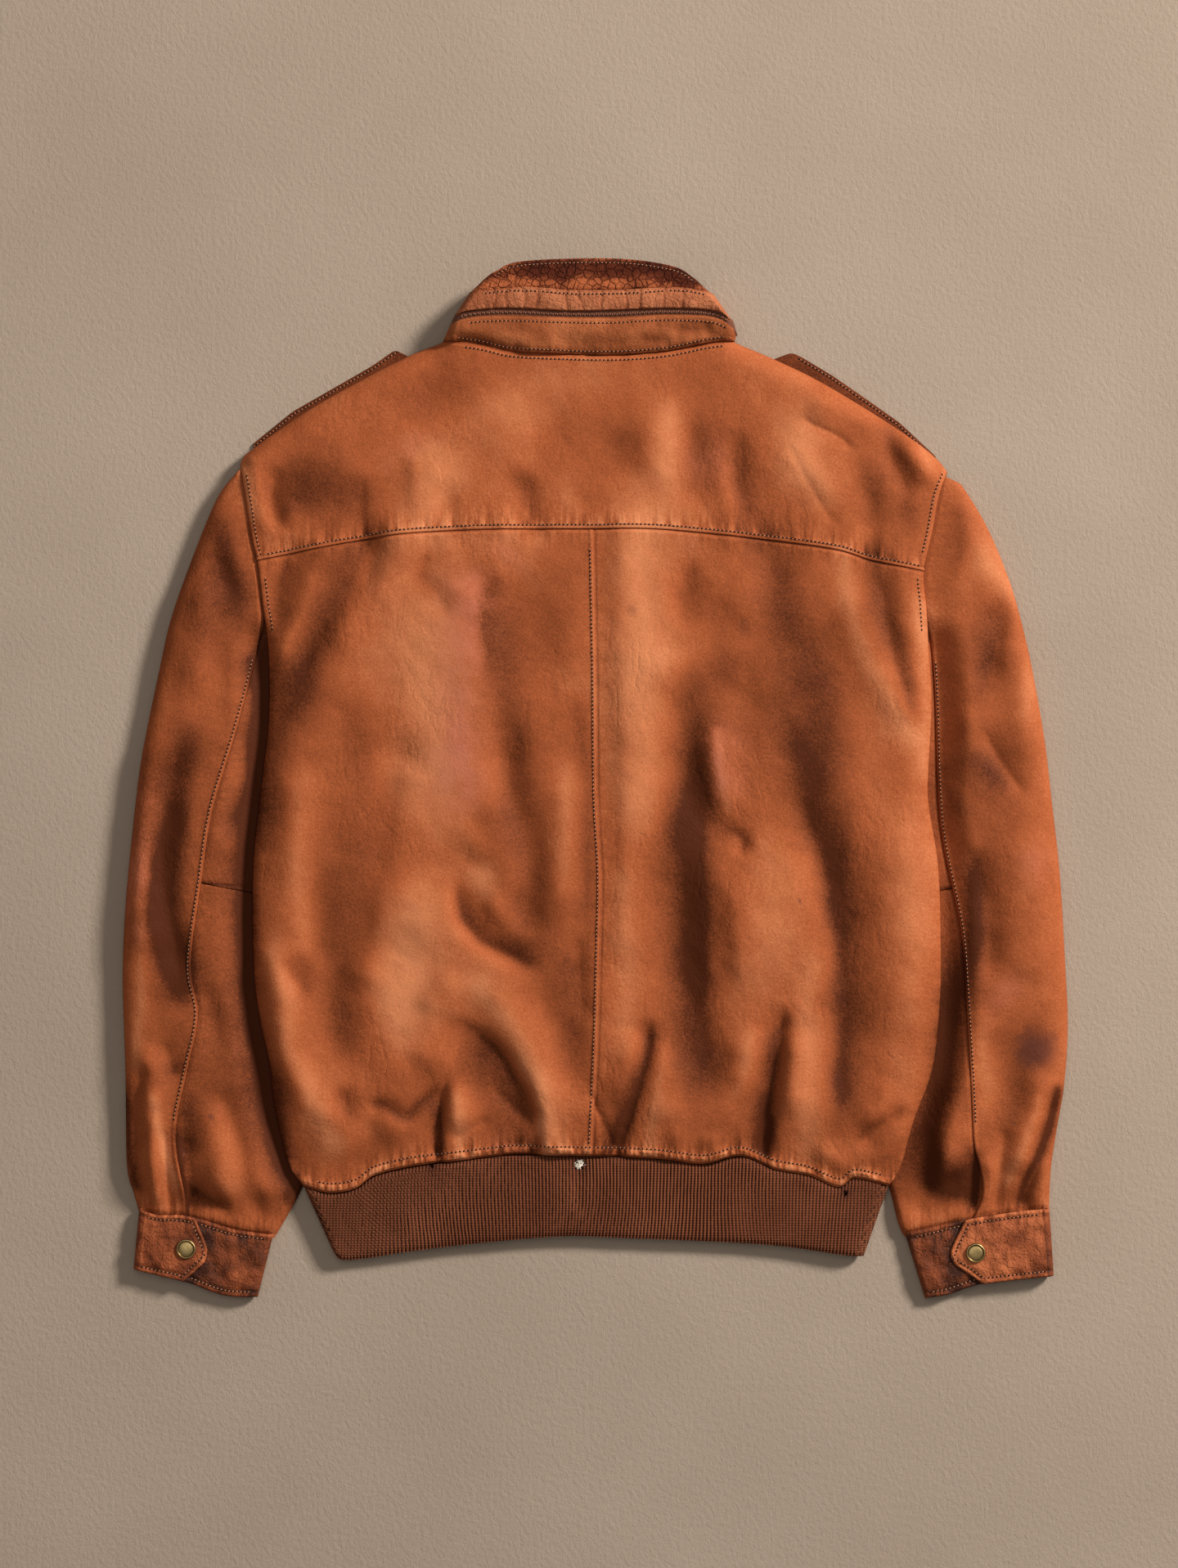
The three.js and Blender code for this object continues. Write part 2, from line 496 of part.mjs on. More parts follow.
// A row of the under sleeve, which dips where the body's edge lies on it.
function underSleeveRow(side, v, drop = 0) {
  const underarm = SLEEVE_ROWS[UNDERARM_ROW];
  const [firstInner, lastInner] = [side.innerEdge[0][1], side.innerEdge.at(-1)[1] + 1];
  const edge = lineAt(side.innerEdge, firstInner, lastInner, (v - underarm) / (1 - underarm));
  const shift = ([x, y]) => [x - side.sign * SEAM_GAP, y];
  const from = shift(seamPoint(side, side.backSeam, v));
  const to = shift(seamPoint(side, side.frontSeam, v));
  const bodyEdge = xAt(side.bodyEdge, edge[1]) + side.sign * 1.5;
  const covered = clamp((bodyEdge - from[0]) / (edge[0] - from[0]), 0.2, 0.93);
  const shares = [0, covered / 2, covered, lerp(covered, 1, 0.5), lerp(covered, 1, 0.85), 1];
  const row = sleeveRow(side, from, edge, to, { shares, reach: 0.6 * UNDER_FOLD, lowest: 2.9 });
  return row.map(([x, y, z]) => [x, y - drop, z]);
}

// An arm is an outer sleeve and an under sleeve, which is cut in two with a seam across the elbow.
function makeSleeve(word, side) {
  const outer = makeSheet(SLEEVE_ROWS.map((v) => outerSleeveRow(side, v)), -side.sign);
  const aboveElbow = SLEEVE_ROWS.slice(UNDERARM_ROW, ELBOW_ROW + 1);
  const belowElbow = SLEEVE_ROWS.slice(ELBOW_ROW + 1);
  const under = makeSheet([
    ...aboveElbow.map((v) => underSleeveRow(side, v)),
    underSleeveRow(side, SLEEVE_ROWS[ELBOW_ROW], ELBOW_GAP),
    ...belowElbow.map((v) => underSleeveRow(side, v)),
  ], side.sign);
  const elbow = aboveElbow.length;
  const lastColumn = (sheet) => sheet.points[0].length - 1;
  under.points.forEach((_, i) => {
    const outerRow = UNDERARM_ROW + (i < elbow ? i : i - 1);
    shareNormal(outer, [outerRow, 0], under, [i, 0]);
    shareNormal(outer, [outerRow, lastColumn(outer)], under, [i, lastColumn(under)]);
  });
  for (let j = 0; j <= lastColumn(under); j += 1) shareNormal(under, [elbow - 1, j], under, [elbow, j]);
  addPiece(`sleeve_${word}_outer`, wallOf(outer, LEATHER), leather(TAN, 0.75));
  addPiece(`sleeve_${word}_under_upper`, wallOf(under, LEATHER, 0, elbow), leather(TAN, 0.75));
  addPiece(`sleeve_${word}_under_lower`, wallOf(under, LEATHER, elbow), leather(TAN, 0.75));
}

makeSleeve('left', LEFT);
makeSleeve('right', RIGHT);

// ---- Cuffs: a strip round the wrist, its pointed end snapped over the other ----
const CUFF_ROWS = [0, 0.25, 0.5, 0.75, 1];
const CUFF_OVERLAP = 0.22; // share of the width where the under end stops

function halfRound(width, low, high, rising) {
  return [15, 50, 90, 130, 165].map((degrees) => {
    const angle = THREE.MathUtils.degToRad(rising ? degrees : 180 - degrees);
    const height = lerp(low, high, (1 - Math.cos(angle)) / 2);
    return [width * (1 - Math.sin(angle)), height];
  });
}

function makeCuff(name, side) {
  const place = (share, v) => mix(travel(side.cuffTop, share), travel(side.cuffEnd, share), v);
  const outerFold = 0.055;
  const innerFold = 0.045;
  const rows = CUFF_ROWS.map((v) => {
    const [first, middle, last] = side.tabReach;
    const reach = v < 0.5 ? lerp(first, middle, v * 2) : lerp(middle, last, v * 2 - 1);
    const row = [1, 0.75, 0.5, 0.25].map((t) => [...place(lerp(outerFold, reach, t), v), TAB_LOFT]);
    for (const [inset, height] of halfRound(outerFold, 0, TAB_LOFT, false)) {
      row.push([...place(inset, v), height]);
    }
    for (const t of [0, 0.33, 0.67, 1]) row.push([...place(lerp(outerFold, 1 - innerFold, t), v), 0]);
    for (const [inset, height] of halfRound(innerFold, 0, CUFF_LOFT, true)) {
      row.push([...place(1 - inset, v), height]);
    }
    for (const t of [0, 0.33, 0.67, 1]) {
      row.push([...place(lerp(1 - innerFold, CUFF_OVERLAP, t), v), CUFF_LOFT]);
    }
    return row;
  });
  addPiece(name, clothWall(rows, FOLDED_LEATHER, -side.sign), leather(TAN, 0.7));
}

function makeSnap(name, side) {
  const profile = [[0, 0], [SNAP_RADIUS, 0], [SNAP_RADIUS, SNAP_HEIGHT * 0.6], [SNAP_RADIUS * 0.88, SNAP_HEIGHT],
    [SNAP_RADIUS * 0.5, SNAP_HEIGHT * 0.9], [0, SNAP_HEIGHT]].map(([r, z]) => new THREE.Vector2(r, z));
  const cap = new THREE.LatheGeometry(profile, 20);
  const metal = new THREE.MeshStandardMaterial({ color: BRASS, roughness: 0.4, metalness: 0.9 });
  const snap = addPiece(name, cap, metal);
  snap.rotation.x = Math.PI / 2;
  snap.position.set(...side.snap, TAB_LOFT + SEAM_GAP);
}

for (const [word, side] of [['left', LEFT], ['right', RIGHT]]) {
  makeCuff(`cuff_${word}`, side);
  makeSnap(`snap_${word}`, side);
}

// ---- Bands that go round and stay open at the centre front ----
const SIDE_FOLD = 8; // how far in a band's side fold reaches its full height
const CENTRE_OPENING = 1.5; // half of the gap between the band's ends
const RIB_TUCK = 2; // how far the waistband's hidden end stays inside the one that shows
const COLLAR_COLUMNS = 11;

// One row of a band: centre front, left fold, across the back at these x, right fold, centre front.
function bandRow(line, height, frontY, acrossBack) {
  const [left, right] = [line[0], line.at(-1)];
  const front = (end, share) => {
    const x = share === 0 ? Math.sign(end[0]) * CENTRE_OPENING : end[0] * share;
    return [x, frontY(x), 0];
  };
  const fold = (end, rising) => halfRound(SIDE_FOLD, 0, height, rising).map(([inset, z]) => {
    const x = end[0] - Math.sign(end[0]) * inset;
    return [x, z > height / 2 ? yAt(line, x) : end[1], z];
  });
  return [
    ...FRONT_NECK.map((share) => front(left, share)),
    ...fold(left, true),
    ...acrossBack.map((x) => [x, yAt(line, x), height]),
    ...fold(right, false),
    ...[...FRONT_NECK].reverse().map((share) => front(right, share)),
  ];
}

const blendRows = (low, high, share) => low.map((point, i) => mix(point, high[i], share));

function makeRib() {
  const hemColumns = (side) => HALF_COLUMNS.slice(2).map((share) => hemPoint(side, share)[0]);
  const columns = [...hemColumns(LEFT), ...hemColumns(RIGHT).reverse().slice(1)];
  const upper = bandRow(HEM, HEM_LOFT, () => FRONT_HEM, columns);
  const across = (x) => lerp(RIB_END[0][0], RIB_END.at(-1)[0], (x - HEM[0][0]) / (HEM.at(-1)[0] - HEM[0][0]));
  const lower = bandRow(RIB_END, HEM_LOFT - 2, (x) => yAt(RIB_END, x) + RIB_TUCK, columns.map(across));
  const rows = [0.02, 0.5, 1].map((share) => blendRows(upper, lower, share));
  const knit = new THREE.MeshStandardMaterial({ color: RIB_BROWN, roughness: 0.95, metalness: 0 });
  addPiece('waist_rib', clothWall(rows, KNIT, -1), knit);
}

// The collar's bands, each between two levels; the shares are its rows, so that a gap stays between bands.
const COLLAR_BANDS = [
  { name: 'collar_stand', level: 0, shares: [0.06, 0.5, 0.93], bulge: 1.5, colour: DARK_TAN },
  { name: 'collar_zip', level: 1, shares: [0.32, 0.6], bulge: 0, colour: RIB_BROWN },
  { name: 'collar_band', level: 2, shares: [0.06, 0.5, 0.94], bulge: 1.5, colour: TAN },
  { name: 'collar_top', level: 3, shares: [0.07, 0.5, 1], bulge: 2, colour: DARK_TAN },
];

function collarLevelRow({ line, height, centreFront }) {
  const from = line[0][0] + SIDE_FOLD;
  const to = line.at(-1)[0] - SIDE_FOLD;
  const columns = Array.from({ length: COLLAR_COLUMNS + 1 }, (_, j) => lerp(from, to, j / COLLAR_COLUMNS));
  return bandRow(line, height, (x) => frontCollarY({ line, centreFront }, x), columns);
}

function makeCollar() {
  const levels = COLLAR.map(collarLevelRow);
  const rows = COLLAR_BANDS.flatMap(({ level, shares, bulge }) => shares.map((share) => (
    blendRows(levels[level], levels[level + 1], share).map(([x, y, z]) => {
      const onBack = ease(0.7, 1, z / COLLAR[level].height);
      return [x, y, z + onBack * bulge * Math.sin(Math.PI * share)];
    })
  )));
  const collar = makeSheet(rows);
  let firstRow = 0;
  for (const { shares } of COLLAR_BANDS.slice(0, -1)) {
    firstRow += shares.length;
    for (let j = 0; j < rows[0].length; j += 1) shareNormal(collar, [firstRow - 1, j], collar, [firstRow, j]);
  }
  firstRow = 0;
  for (const { name, shares, colour } of COLLAR_BANDS) {
    addPiece(name, wallOf(collar, FOLDED_LEATHER, firstRow, firstRow + shares.length), leather(colour, 0.7));
    firstRow += shares.length;
  }
}

makeRib();
makeCollar();

// ---- Shoulder straps, lying under the shoulder's edge ----
function makeStrap(name, side) {
  const outline = new THREE.Shape(side.strap.map(([x, y]) => new THREE.Vector2(x, y)));
  const strap = new THREE.ExtrudeGeometry(outline, { depth: FRONT_OVER_STRAP - SEAM_GAP, bevelEnabled: false });
  addPiece(name, strap, leather(DARK_TAN, 0.7));
}

makeStrap('epaulette_left', LEFT);
makeStrap('epaulette_right', RIGHT);

export default jacket;
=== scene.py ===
# A worn leather blouson, laid flat on its front with its back up. The left pieces are the wearer's left, on
# the -X side.
import math

import bmesh
import bpy
import numpy as np
from mathutils import Matrix, Vector
from mathutils.bvhtree import BVHTree


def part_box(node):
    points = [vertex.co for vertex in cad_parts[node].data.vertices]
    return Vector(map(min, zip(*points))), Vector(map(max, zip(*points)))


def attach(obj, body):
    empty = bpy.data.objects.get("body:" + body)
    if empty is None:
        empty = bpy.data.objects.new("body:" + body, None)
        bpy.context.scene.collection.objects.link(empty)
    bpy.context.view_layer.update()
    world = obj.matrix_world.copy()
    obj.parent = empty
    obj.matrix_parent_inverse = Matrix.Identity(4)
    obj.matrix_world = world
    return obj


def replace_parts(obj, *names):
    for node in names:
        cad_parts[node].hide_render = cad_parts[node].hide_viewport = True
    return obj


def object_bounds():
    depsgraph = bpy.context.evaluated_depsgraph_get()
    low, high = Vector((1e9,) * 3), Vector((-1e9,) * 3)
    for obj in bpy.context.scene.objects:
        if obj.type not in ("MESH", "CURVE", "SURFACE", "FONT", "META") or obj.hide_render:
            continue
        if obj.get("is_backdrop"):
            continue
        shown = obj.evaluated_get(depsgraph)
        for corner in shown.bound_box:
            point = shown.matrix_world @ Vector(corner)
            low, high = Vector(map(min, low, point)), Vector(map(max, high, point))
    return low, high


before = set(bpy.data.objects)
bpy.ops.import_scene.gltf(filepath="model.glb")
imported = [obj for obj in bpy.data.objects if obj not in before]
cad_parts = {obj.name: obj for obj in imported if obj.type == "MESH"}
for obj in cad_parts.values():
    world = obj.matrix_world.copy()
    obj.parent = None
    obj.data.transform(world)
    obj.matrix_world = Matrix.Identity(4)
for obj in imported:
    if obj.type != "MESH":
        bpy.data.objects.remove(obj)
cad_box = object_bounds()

# ---- Driving dimensions, as in the frame's own pieces ----
MM = 0.001
LEATHER = 1.7
FOLDED_LEATHER = 2.2
KNIT = 2.4
SEAM_GAP = 0.4
TUCK = 1.3
BODY_LOFT = 21.0
SLEEVE_LOFT = 19.0
ARMHOLE_LOFT = 16.5
HEM_LOFT = 13.0
CUFF_LOFT = 9.0
TAB_LOFT = 11.8
TUCKED_SLEEVE = 6.2
FRONT_OVER_SLEEVE = 7.0
FRONT_OVER_STRAP = 2.5
SIDE_ROLL = 26.0
SHOULDER_ROLL = 18.0
SLEEVE_ROLL = 24.0
FOLD_RIM = 1.6
SHOULDER_FOLD = FRONT_OVER_STRAP + LEATHER + FOLD_RIM
SIDE_FOLD_HEIGHT = FRONT_OVER_SLEEVE + LEATHER + FOLD_RIM
STITCH_PITCH = 3.1
STITCH_SIZE = (1.5, 0.8, 0.52)
HOLE_RADII = (0.85, 0.9, 0.36)
YOKE_STITCH_INSET = 3.6
HEM_STITCH_INSET = 7.0
CUFF_STITCH_INSET = 4
CUFF_DEEP = 49
CUFF_ROUND = 105
EDGE_HEIGHT = 0.42
UNDER_FOLD = 9.0
CAP_DROP = 4.0
SLEEVE_LONG = 570
RIB_DEEP = 62
WALE = 2.6
FOLD_DEPTH = 1.2
FOLD_SPREAD = 1.45
# Strength of the painted fold shade, painted shadows and dye patches in the tone.
SHADE_AND_DYE_DEPTH = 0.86
FEATHER_END = 0.043

# ---- Outlines, as (x, y), and how each side is worn ----
LEFT = {
    "sign": -1,
    "body_edge": [(-272, 243), (-267, 211), (-263, 185), (-259, 167), (-255, 135), (-251, 106),
                  (-250, 50), (-255, 4), (-262, -62), (-262, -140), (-257, -183), (-250, -215),
                  (-246, -248), (-235, -293), (-224, -310)],
    "sleeve_edge": [(-275, 235), (-288, 219), (-303, 185), (-324, 127), (-334, 84), (-347, 20),
                    (-354, -35), (-360, -99), (-362, -154), (-360, -219), (-359, -290),
                    (-354, -312), (-350, -326)],
    "back_seam": [(-272, 243), (-267.4, 211), (-263.4, 185), (-259.4, 167), (-255.4, 135),
                  (-257, 107), (-273, 41), (-292, -22), (-301, -80), (-309, -140), (-303, -180),
                  (-312, -224), (-320, -270), (-313, -317), (-313, -331)],
    "front_seam": [(-272, 243), (-263.4, 185), (-255.4, 135), (-256, 107), (-268, 60), (-284, 0),
                   (-290, -80), (-292, -160), (-292, -250), (-297, -336)],
    "inner_edge": [(-246, 80), (-225, 40), (-208, -20), (-200, -80), (-200, -140), (-205, -200),
                   (-213, -260), (-221, -296), (-227, -312), (-239, -332), (-247, -345)],
    "shoulder": [(-272, 243), (-265, 252), (-224, 281), (-182, 305), (-143, 325), (-117, 335)],
    "strap": [(-262, 254), (-230, 280), (-209, 292), (-169, 315), (-152, 327), (-136, 321),
              (-134, 306), (-190, 254), (-238, 220)],
    "strap_outer": (0, 5, (-1.9, 3.2)),
    "cuff_top": [(-349.5, -327.5), (-335, -332), (-312, -333), (-276, -343.5), (-247, -347.5)],
    "cuff_end": [(-354, -374), (-333, -379), (-313, -384), (-285, -394), (-259, -395.5)],
    "tab_reach": (0.42, 0.585, 0.41),
    "cuff_wear_and_shade": (0.0, 0.3),
    "body_shade": 0.9,
}
RIGHT = {
    "sign": 1,
    "body_edge": [(269, 236), (262, 217), (257, 190), (250.5, 159), (252, 135), (254, 106),
                  (257, 60), (254, 0), (255, -22), (262, -68), (264, -141), (262, -184),
                  (257, -222), (243, -261), (233, -295), (224, -310)],
    "sleeve_edge": [(272, 234), (279, 227), (298, 196), (314, 159), (324, 127), (333, 88),
                    (343, 32), (349, -18), (355, -74), (359, -141), (361, -189), (358, -235),
                    (352, -270), (348, -295), (347, -326)],
    "back_seam": [(269, 236), (262.4, 217), (257.4, 190), (250.9, 159), (252.4, 135),
                  (256, 107), (259, 60), (261, -8), (265, -48), (278, -114), (282, -169),
                  (286, -244), (288, -278), (295, -309), (287, -333)],
    "front_seam": [(269, 236), (257.4, 190), (252.4, 135), (256, 107), (266, 60), (276, 0),
                   (282, -80), (285, -160), (285, -250), (283, -336)],
    "inner_edge": [(246, 80), (228, 40), (210, -20), (202, -80), (202, -140), (206, -200),
                   (213, -260), (221, -296), (226, -312), (232, -334), (237, -344)],
    "shoulder": [(269, 236), (261, 246), (245, 259), (220, 276), (172, 305), (135, 323), (106, 335)],
    "strap": [(262, 247), (235, 277), (211, 294), (182, 310), (157, 325), (150, 328), (131, 321),
              (129, 306), (186, 254), (236, 214)],
    "strap_outer": (1, 3, (-2.0, -2.8)),
    "cuff_top": [(347, -327.5), (322, -329.5), (287, -335), (254, -342.5), (236.5, -346.5)],
    "cuff_end": [(350.5, -379), (322, -382), (292, -386), (271, -393), (252, -396.5)],
    "tab_reach": (0.58, 0.77, 0.55),
    "cuff_wear_and_shade": (0.35, 0.55),
    "body_shade": 0.45,
}
SIDES = (("left", LEFT), ("right", RIGHT))
YOKE_SEAM = [(-259, 167), (-209, 177), (-156, 186), (-103, 190), (-51, 191), (-2, 191), (45, 191),
             (101, 186), (145, 181), (185, 175), (211, 167), (250.5, 159)]
CENTRE_SEAM = [(-2, 191), (0, 84), (1, -12), (4, -71), (3, -131), (1, -203), (-3, -287)]
HEM = [(-224, -310), (-204, -315), (-184, -312), (-169, -302), (-142, -295), (-117, -292),
       (-84, -288), (-59, -286), (-3, -287), (49, -289), (82, -293), (110, -287), (136, -297),
       (163, -302), (185, -311), (198, -304), (224, -310)]
RIB_END = [(-201, -361), (-189, -367), (-125, -358), (-33, -349), (22, -350), (128, -355),
           (189, -363), (205, -364)]
FRONT_HEM = -309.6

# Collar levels from the neck seam up: line across the back, its height, and the hidden centre front.
COLLAR = [
    {"line": [(-117, 335), (-88, 331), (-66, 326), (-36, 324), (14, 323), (54, 326), (84, 332),
              (106, 335)], "height": 22.5, "centre_front": 285},
    {"line": [(-111.5, 347), (-95, 352), (-66, 353.5), (-20, 352), (14, 352), (54, 354),
              (90, 352), (107.5, 341.5)], "height": 27.5, "centre_front": 311},
    {"line": [(-108.5, 353.5), (-95, 356.5), (-66, 358.5), (-20, 356.5), (14, 357), (54, 358.5),
              (90, 356.5), (105.5, 348)], "height": 28.5, "centre_front": 316},
    {"line": [(-97, 371), (-56, 374), (-16, 371.5), (24, 372), (64, 374), (91, 369)],
     "height": 29, "centre_front": 331},
    {"line": [(-88, 380), (-76, 388), (-55, 395.5), (13, 397.5), (57, 392), (74, 383), (84, 374)],
     "height": 21, "centre_front": 352},
]

# ---- Creases: (lift, width on the -X side, width on the +X side, crispness, path) ----
BODY_FOLDS = [
    # yoke, left half
    (2.2, 6, 6, 0, [(-257, 256), (-264, 240), (-257, 210), (-250, 184)]),
    (-2.8, 6, 5, 0.2, [(-238, 240), (-248, 219), (-241, 186)]),
    (1.6, 5, 5, 0, [(-234, 218), (-234, 190)]),
    (-1.8, 6, 3.5, 0.3, [(-178, 236), (-180, 184)]),
    (0.9, 4, 4, 0, [(-138, 252), (-140, 205)]),
    (-1.8, 8, 6, 0, [(-108, 232), (-113, 211), (-104, 186)]),
    (-1.8, 8, 6, 0, [(-66, 238), (-51, 216), (-44, 190)]),
    (1.3, 4, 4, 0, [(-70, 212), (-72, 190)]),
    (-3.2, 20, 16, 0, [(-150, 312), (-122, 285), (-104, 258)]),
    (3.0, 18, 14, 0, [(-122, 262), (-128, 228), (-142, 192)]),
    (2.6, 16, 22, 0, [(-103, 290), (-84, 268), (-50, 250)]),
    (2.2, 26, 18, 0, [(-225, 262), (-200, 240), (-190, 205)]),
    (-1.8, 14, 16, 0, [(-34, 300), (-30, 262), (-22, 232)]),
    # yoke, right half
    (-3.0, 6, 8, 0.2, [(226, 276), (224, 251), (231, 233), (244, 210)]),
    (2.8, 7, 7, 0.1, [(232, 270), (246, 242), (256, 220)]),
    (-1.6, 5, 3, 0.9, [(154, 280), (165, 271), (185, 262), (199, 249)]),
    (2.0, 8, 8, 0, [(158, 290), (172, 284), (188, 274)]),
    (3.2, 14, 14, 0, [(140, 270), (156, 242), (174, 224), (186, 196)]),
    (-0.9, 4, 3, 0.9, [(145, 258), (165, 221), (184, 192)]),
    (-2.2, 8, 6, 0, [(204, 236), (210, 207), (208, 174)]),
    (-2.0, 14, 10, 0, [(22, 280), (20, 216)]),
    (2.4, 12, 14, 0, [(56, 294), (38, 251), (30, 214)]),
    (-2.2, 10, 10, 0, [(75, 286), (72, 224), (76, 198)]),
    (-2.6, 9, 7, 0.2, [(109, 272), (106, 237), (108, 208)]),
    (2.0, 7, 7, 0, [(94, 246), (100, 207), (103, 186)]),
    # upper left back
    (-3.2, 7, 10, 0.1, [(-236, 170), (-243, 142), (-240, 106)]),
    (2.6, 8, 8, 0.2, [(-207, 172), (-217, 151), (-224, 125), (-236, 104), (-240, 80)]),
    (-3.4, 10, 7, 0.2, [(-172, 184), (-175, 156), (-197, 132), (-214, 111), (-226, 92), (-238, 78)]),
    (3.0, 14, 12, 0, [(-152, 182), (-164, 150), (-188, 125), (-199, 84)]),
    (-0.8, 2, 2, 0.5, [(-162, 147), (-146, 158), (-126, 171)]),
    (-1.8, 8, 6, 0.2, [(-125, 182), (-133, 156), (-121, 142), (-112, 116)]),
    (3.0, 22, 20, 0, [(-96, 186), (-100, 120), (-104, 40), (-112, -20)]),
    (-3.2, 5, 14, 0.4, [(-96, 136), (-86, 146), (-70, 156)]),
    (-2.8, 12, 16, 0, [(-48, 160), (-66, 128), (-74, 84)]),
    (-2.2, 18, 22, 0, [(-30, 172), (-46, 136), (-50, 96)]),
    (2.6, 12, 14, 0, [(-14, 150), (-17, 108), (-22, 70)]),
    (-2.4, 10, 12, 0, [(-71, 60), (-70, 20), (-66, -13)]),
    # lower left back
    (3.6, 11, 10, 0.1, [(-218, 14), (-229, -37), (-231, -85), (-226, -121), (-210, -160)]),
    (4.2, 10, 10, 0.1, [(-254, -122), (-241, -156), (-238, -204), (-219, -240), (-186, -276),
                        (-172, -288)]),
    (-3.0, 7, 9, 0.2, [(-238, -130), (-228, -150), (-216, -160)]),
    (-3.4, 14, 14, 0.1, [(-212, -60), (-218, -118), (-207, -140), (-205, -168), (-193, -204),
                        (-171, -226), (-160, -230)]),
    (-3.0, 6, 5, 0.5, [(-196, -231), (-191, -246), (-184, -258)]),
    (-3.0, 4, 5, 0.4, [(-178, -247), (-160, -249), (-145, -256), (-128, -243), (-116, -233)]),
    (2.6, 8, 7, 0, [(-172, -256), (-152, -266), (-140, -276)]),
    (-3.4, 12, 12, 0.1, [(-151, 44), (-154, -13), (-159, -56), (-171, -97), (-182, -150)]),
    (3.0, 9, 9, 0, [(-141, 20), (-150, -30), (-162, -85), (-169, -123), (-180, -166)]),
    (4.8, 24, 22, 0, [(-138, -60), (-140, -97), (-150, -136)]),
    (3.0, 9, 9, 0.1, [(-110, -56), (-103, -49), (-93, -46), (-84, -56), (-84, -72)]),
    (-4.8, 5, 14, 0.15, [(-98, -66), (-104, -80), (-104, -94), (-97, -112), (-82, -127),
                         (-60, -138), (-34, -146)]),
    (3.0, 7, 8, 0.1, [(-78, -80), (-76, -96), (-69, -116)]),
    (3.2, 9, 9, 0, [(-82, -6), (-70, -40), (-64, -66), (-64, -96)]),
    (-4.2, 9, 9, 0.1, [(-71, 35), (-64, -13), (-54, -49), (-52, -94), (-60, -122)]),
    (3.4, 11, 12, 0, [(-22, 10), (-26, -40), (-28, -84), (-34, -118)]),
    (-2.8, 8, 5, 0.2, [(-14, -112), (-13, -150), (-10, -190)]),
    (-4.4, 24, 5, 0.1, [(-130, -172), (-112, -185), (-92, -193), (-64, -223), (-50, -257), (-46, -290)]),
    (2.2, 7, 7, 0, [(-104, -144), (-121, -164), (-138, -178)]),
    (4.6, 10, 13, 0.1, [(-92, -143), (-66, -180), (-45, -216), (-36, -266)]),
    (-3.4, 12, 12, 0, [(-56, -150), (-30, -192), (-12, -256)]),
    (-4.8, 8, 4, 0.75, [(-113, -222), (-119, -252), (-123, -276), (-120, -292)]),
    (4.2, 6, 9, 0.1, [(-109, -224), (-107, -250), (-106, -276)]),
    (3.4, 9, 9, 0, [(-142, -219), (-124, -211), (-104, -223)]),
    (-1.8, 3, 3, 0.7, [(-112, -276), (-95, -266), (-80, -257)]),
    (-2.0, 4, 4, 0.5, [(-82, -232), (-59, -252), (-40, -258)]),
    (2.4, 9, 9, 0, [(-60, -262), (-44, -272), (-30, -280)]),
    (2.2, 10, 10, 0, [(-200, -262), (-205, -284), (-206, -304)]),
    # upper right back
    (3.0, 8, 16, 0, [(20, 190), (20, 90), (23, 36), (24, -60), (20, -150)]),
    (-3.0, 7, 14, 0.1, [(76, 178), (66, 138), (73, 110)]),
    (-2.6, 12, 14, 0, [(124, 182), (138, 153), (149, 138)]),
    (1.8, 8, 8, 0, [(98, 152), (112, 130), (122, 110)]),
    (-2.6, 24, 26, 0, [(156, 132), (170, 100), (176, 66)]),
    (3.2, 11, 12, 0, [(188, 156), (206, 99), (228, 63), (248, 30)]),
    (-3.0, 5, 8, 0.5, [(216, 158), (221, 126), (228, 90), (243, 50)]),
    (-1.6, 9, 9, 0, [(108, 78), (122, 40)]),
    (2.6, 12, 12, 0, [(238, 156), (240, 120), (246, 84)]),
    (2.2, 14, 14, 0, [(46, 120), (44, 60), (40, 10)]),
    (2.4, 16, 16, 0, [(140, 60), (132, 20), (128, -20)]),
    # lower right back
    (-3.4, 16, 12, 0.1, [(60, 84), (64, 30), (68, 6), (80, -20), (92, -38), (110, -52)]),
    (-3.0, 5, 5, 0.5, [(101, -36), (112, -46), (106, -60)]),
    (3.4, 10, 10, 0, [(86, 42), (95, 0), (102, -36)]),
    (-4.2, 22, 13, 0.1, [(64, -50), (62, -109), (68, -156), (82, -204), (90, -256)]),
    (4.0, 8, 14, 0.1, [(106, -62), (106, -97), (109, -133), (116, -170)]),
    (4.0, 22, 22, 0, [(132, -30), (136, -84), (134, -128), (128, -160)]),
    (-5.0, 9, 18, 0.15, [(156, 2), (166, -49), (182, -97), (190, -150), (189, -204), (186, -262)]),
    (4.2, 18, 18, 0, [(226, -20), (230, -90), (226, -150), (222, -206)]),
    (-6.4, 9, 5, 0.6, [(144, -168), (138, -216), (131, -252), (128, -288)]),
    (4.8, 8, 9, 0.1, [(152, -186), (150, -220), (147, -262)]),
    (4.2, 11, 9, 0, [(120, -184), (114, -214), (100, -248)]),
    (-3.6, 7, 5, 0.5, [(42, -180), (37, -212), (30, -236), (17, -284)]),
    (3.8, 10, 6, 0, [(29, -186), (25, -216), (14, -256)]),
    (3.4, 8, 10, 0, [(56, -200), (50, -236), (44, -268)]),
    (-2.0, 3, 3, 0.8, [(-5, -236), (4, -258), (17, -288)]),
    (4.4, 9, 9, 0.2, [(246, -256), (222, -278), (206, -294), (186, -310)]),
    (-3.4, 6, 6, 0.4, [(238, -248), (216, -266), (198, -282)]),
    (3.0, 7, 7, 0, [(168, -270), (178, -290), (190, -308)]),
    (2.0, 6, 6, 0, [(64, -262), (58, -286)]),
    (2.0, 6, 6, 0, [(86, -266), (90, -286)]),
    (2.4, 7, 7, 0, [(224, -226), (214, -250), (196, -264)]),
]
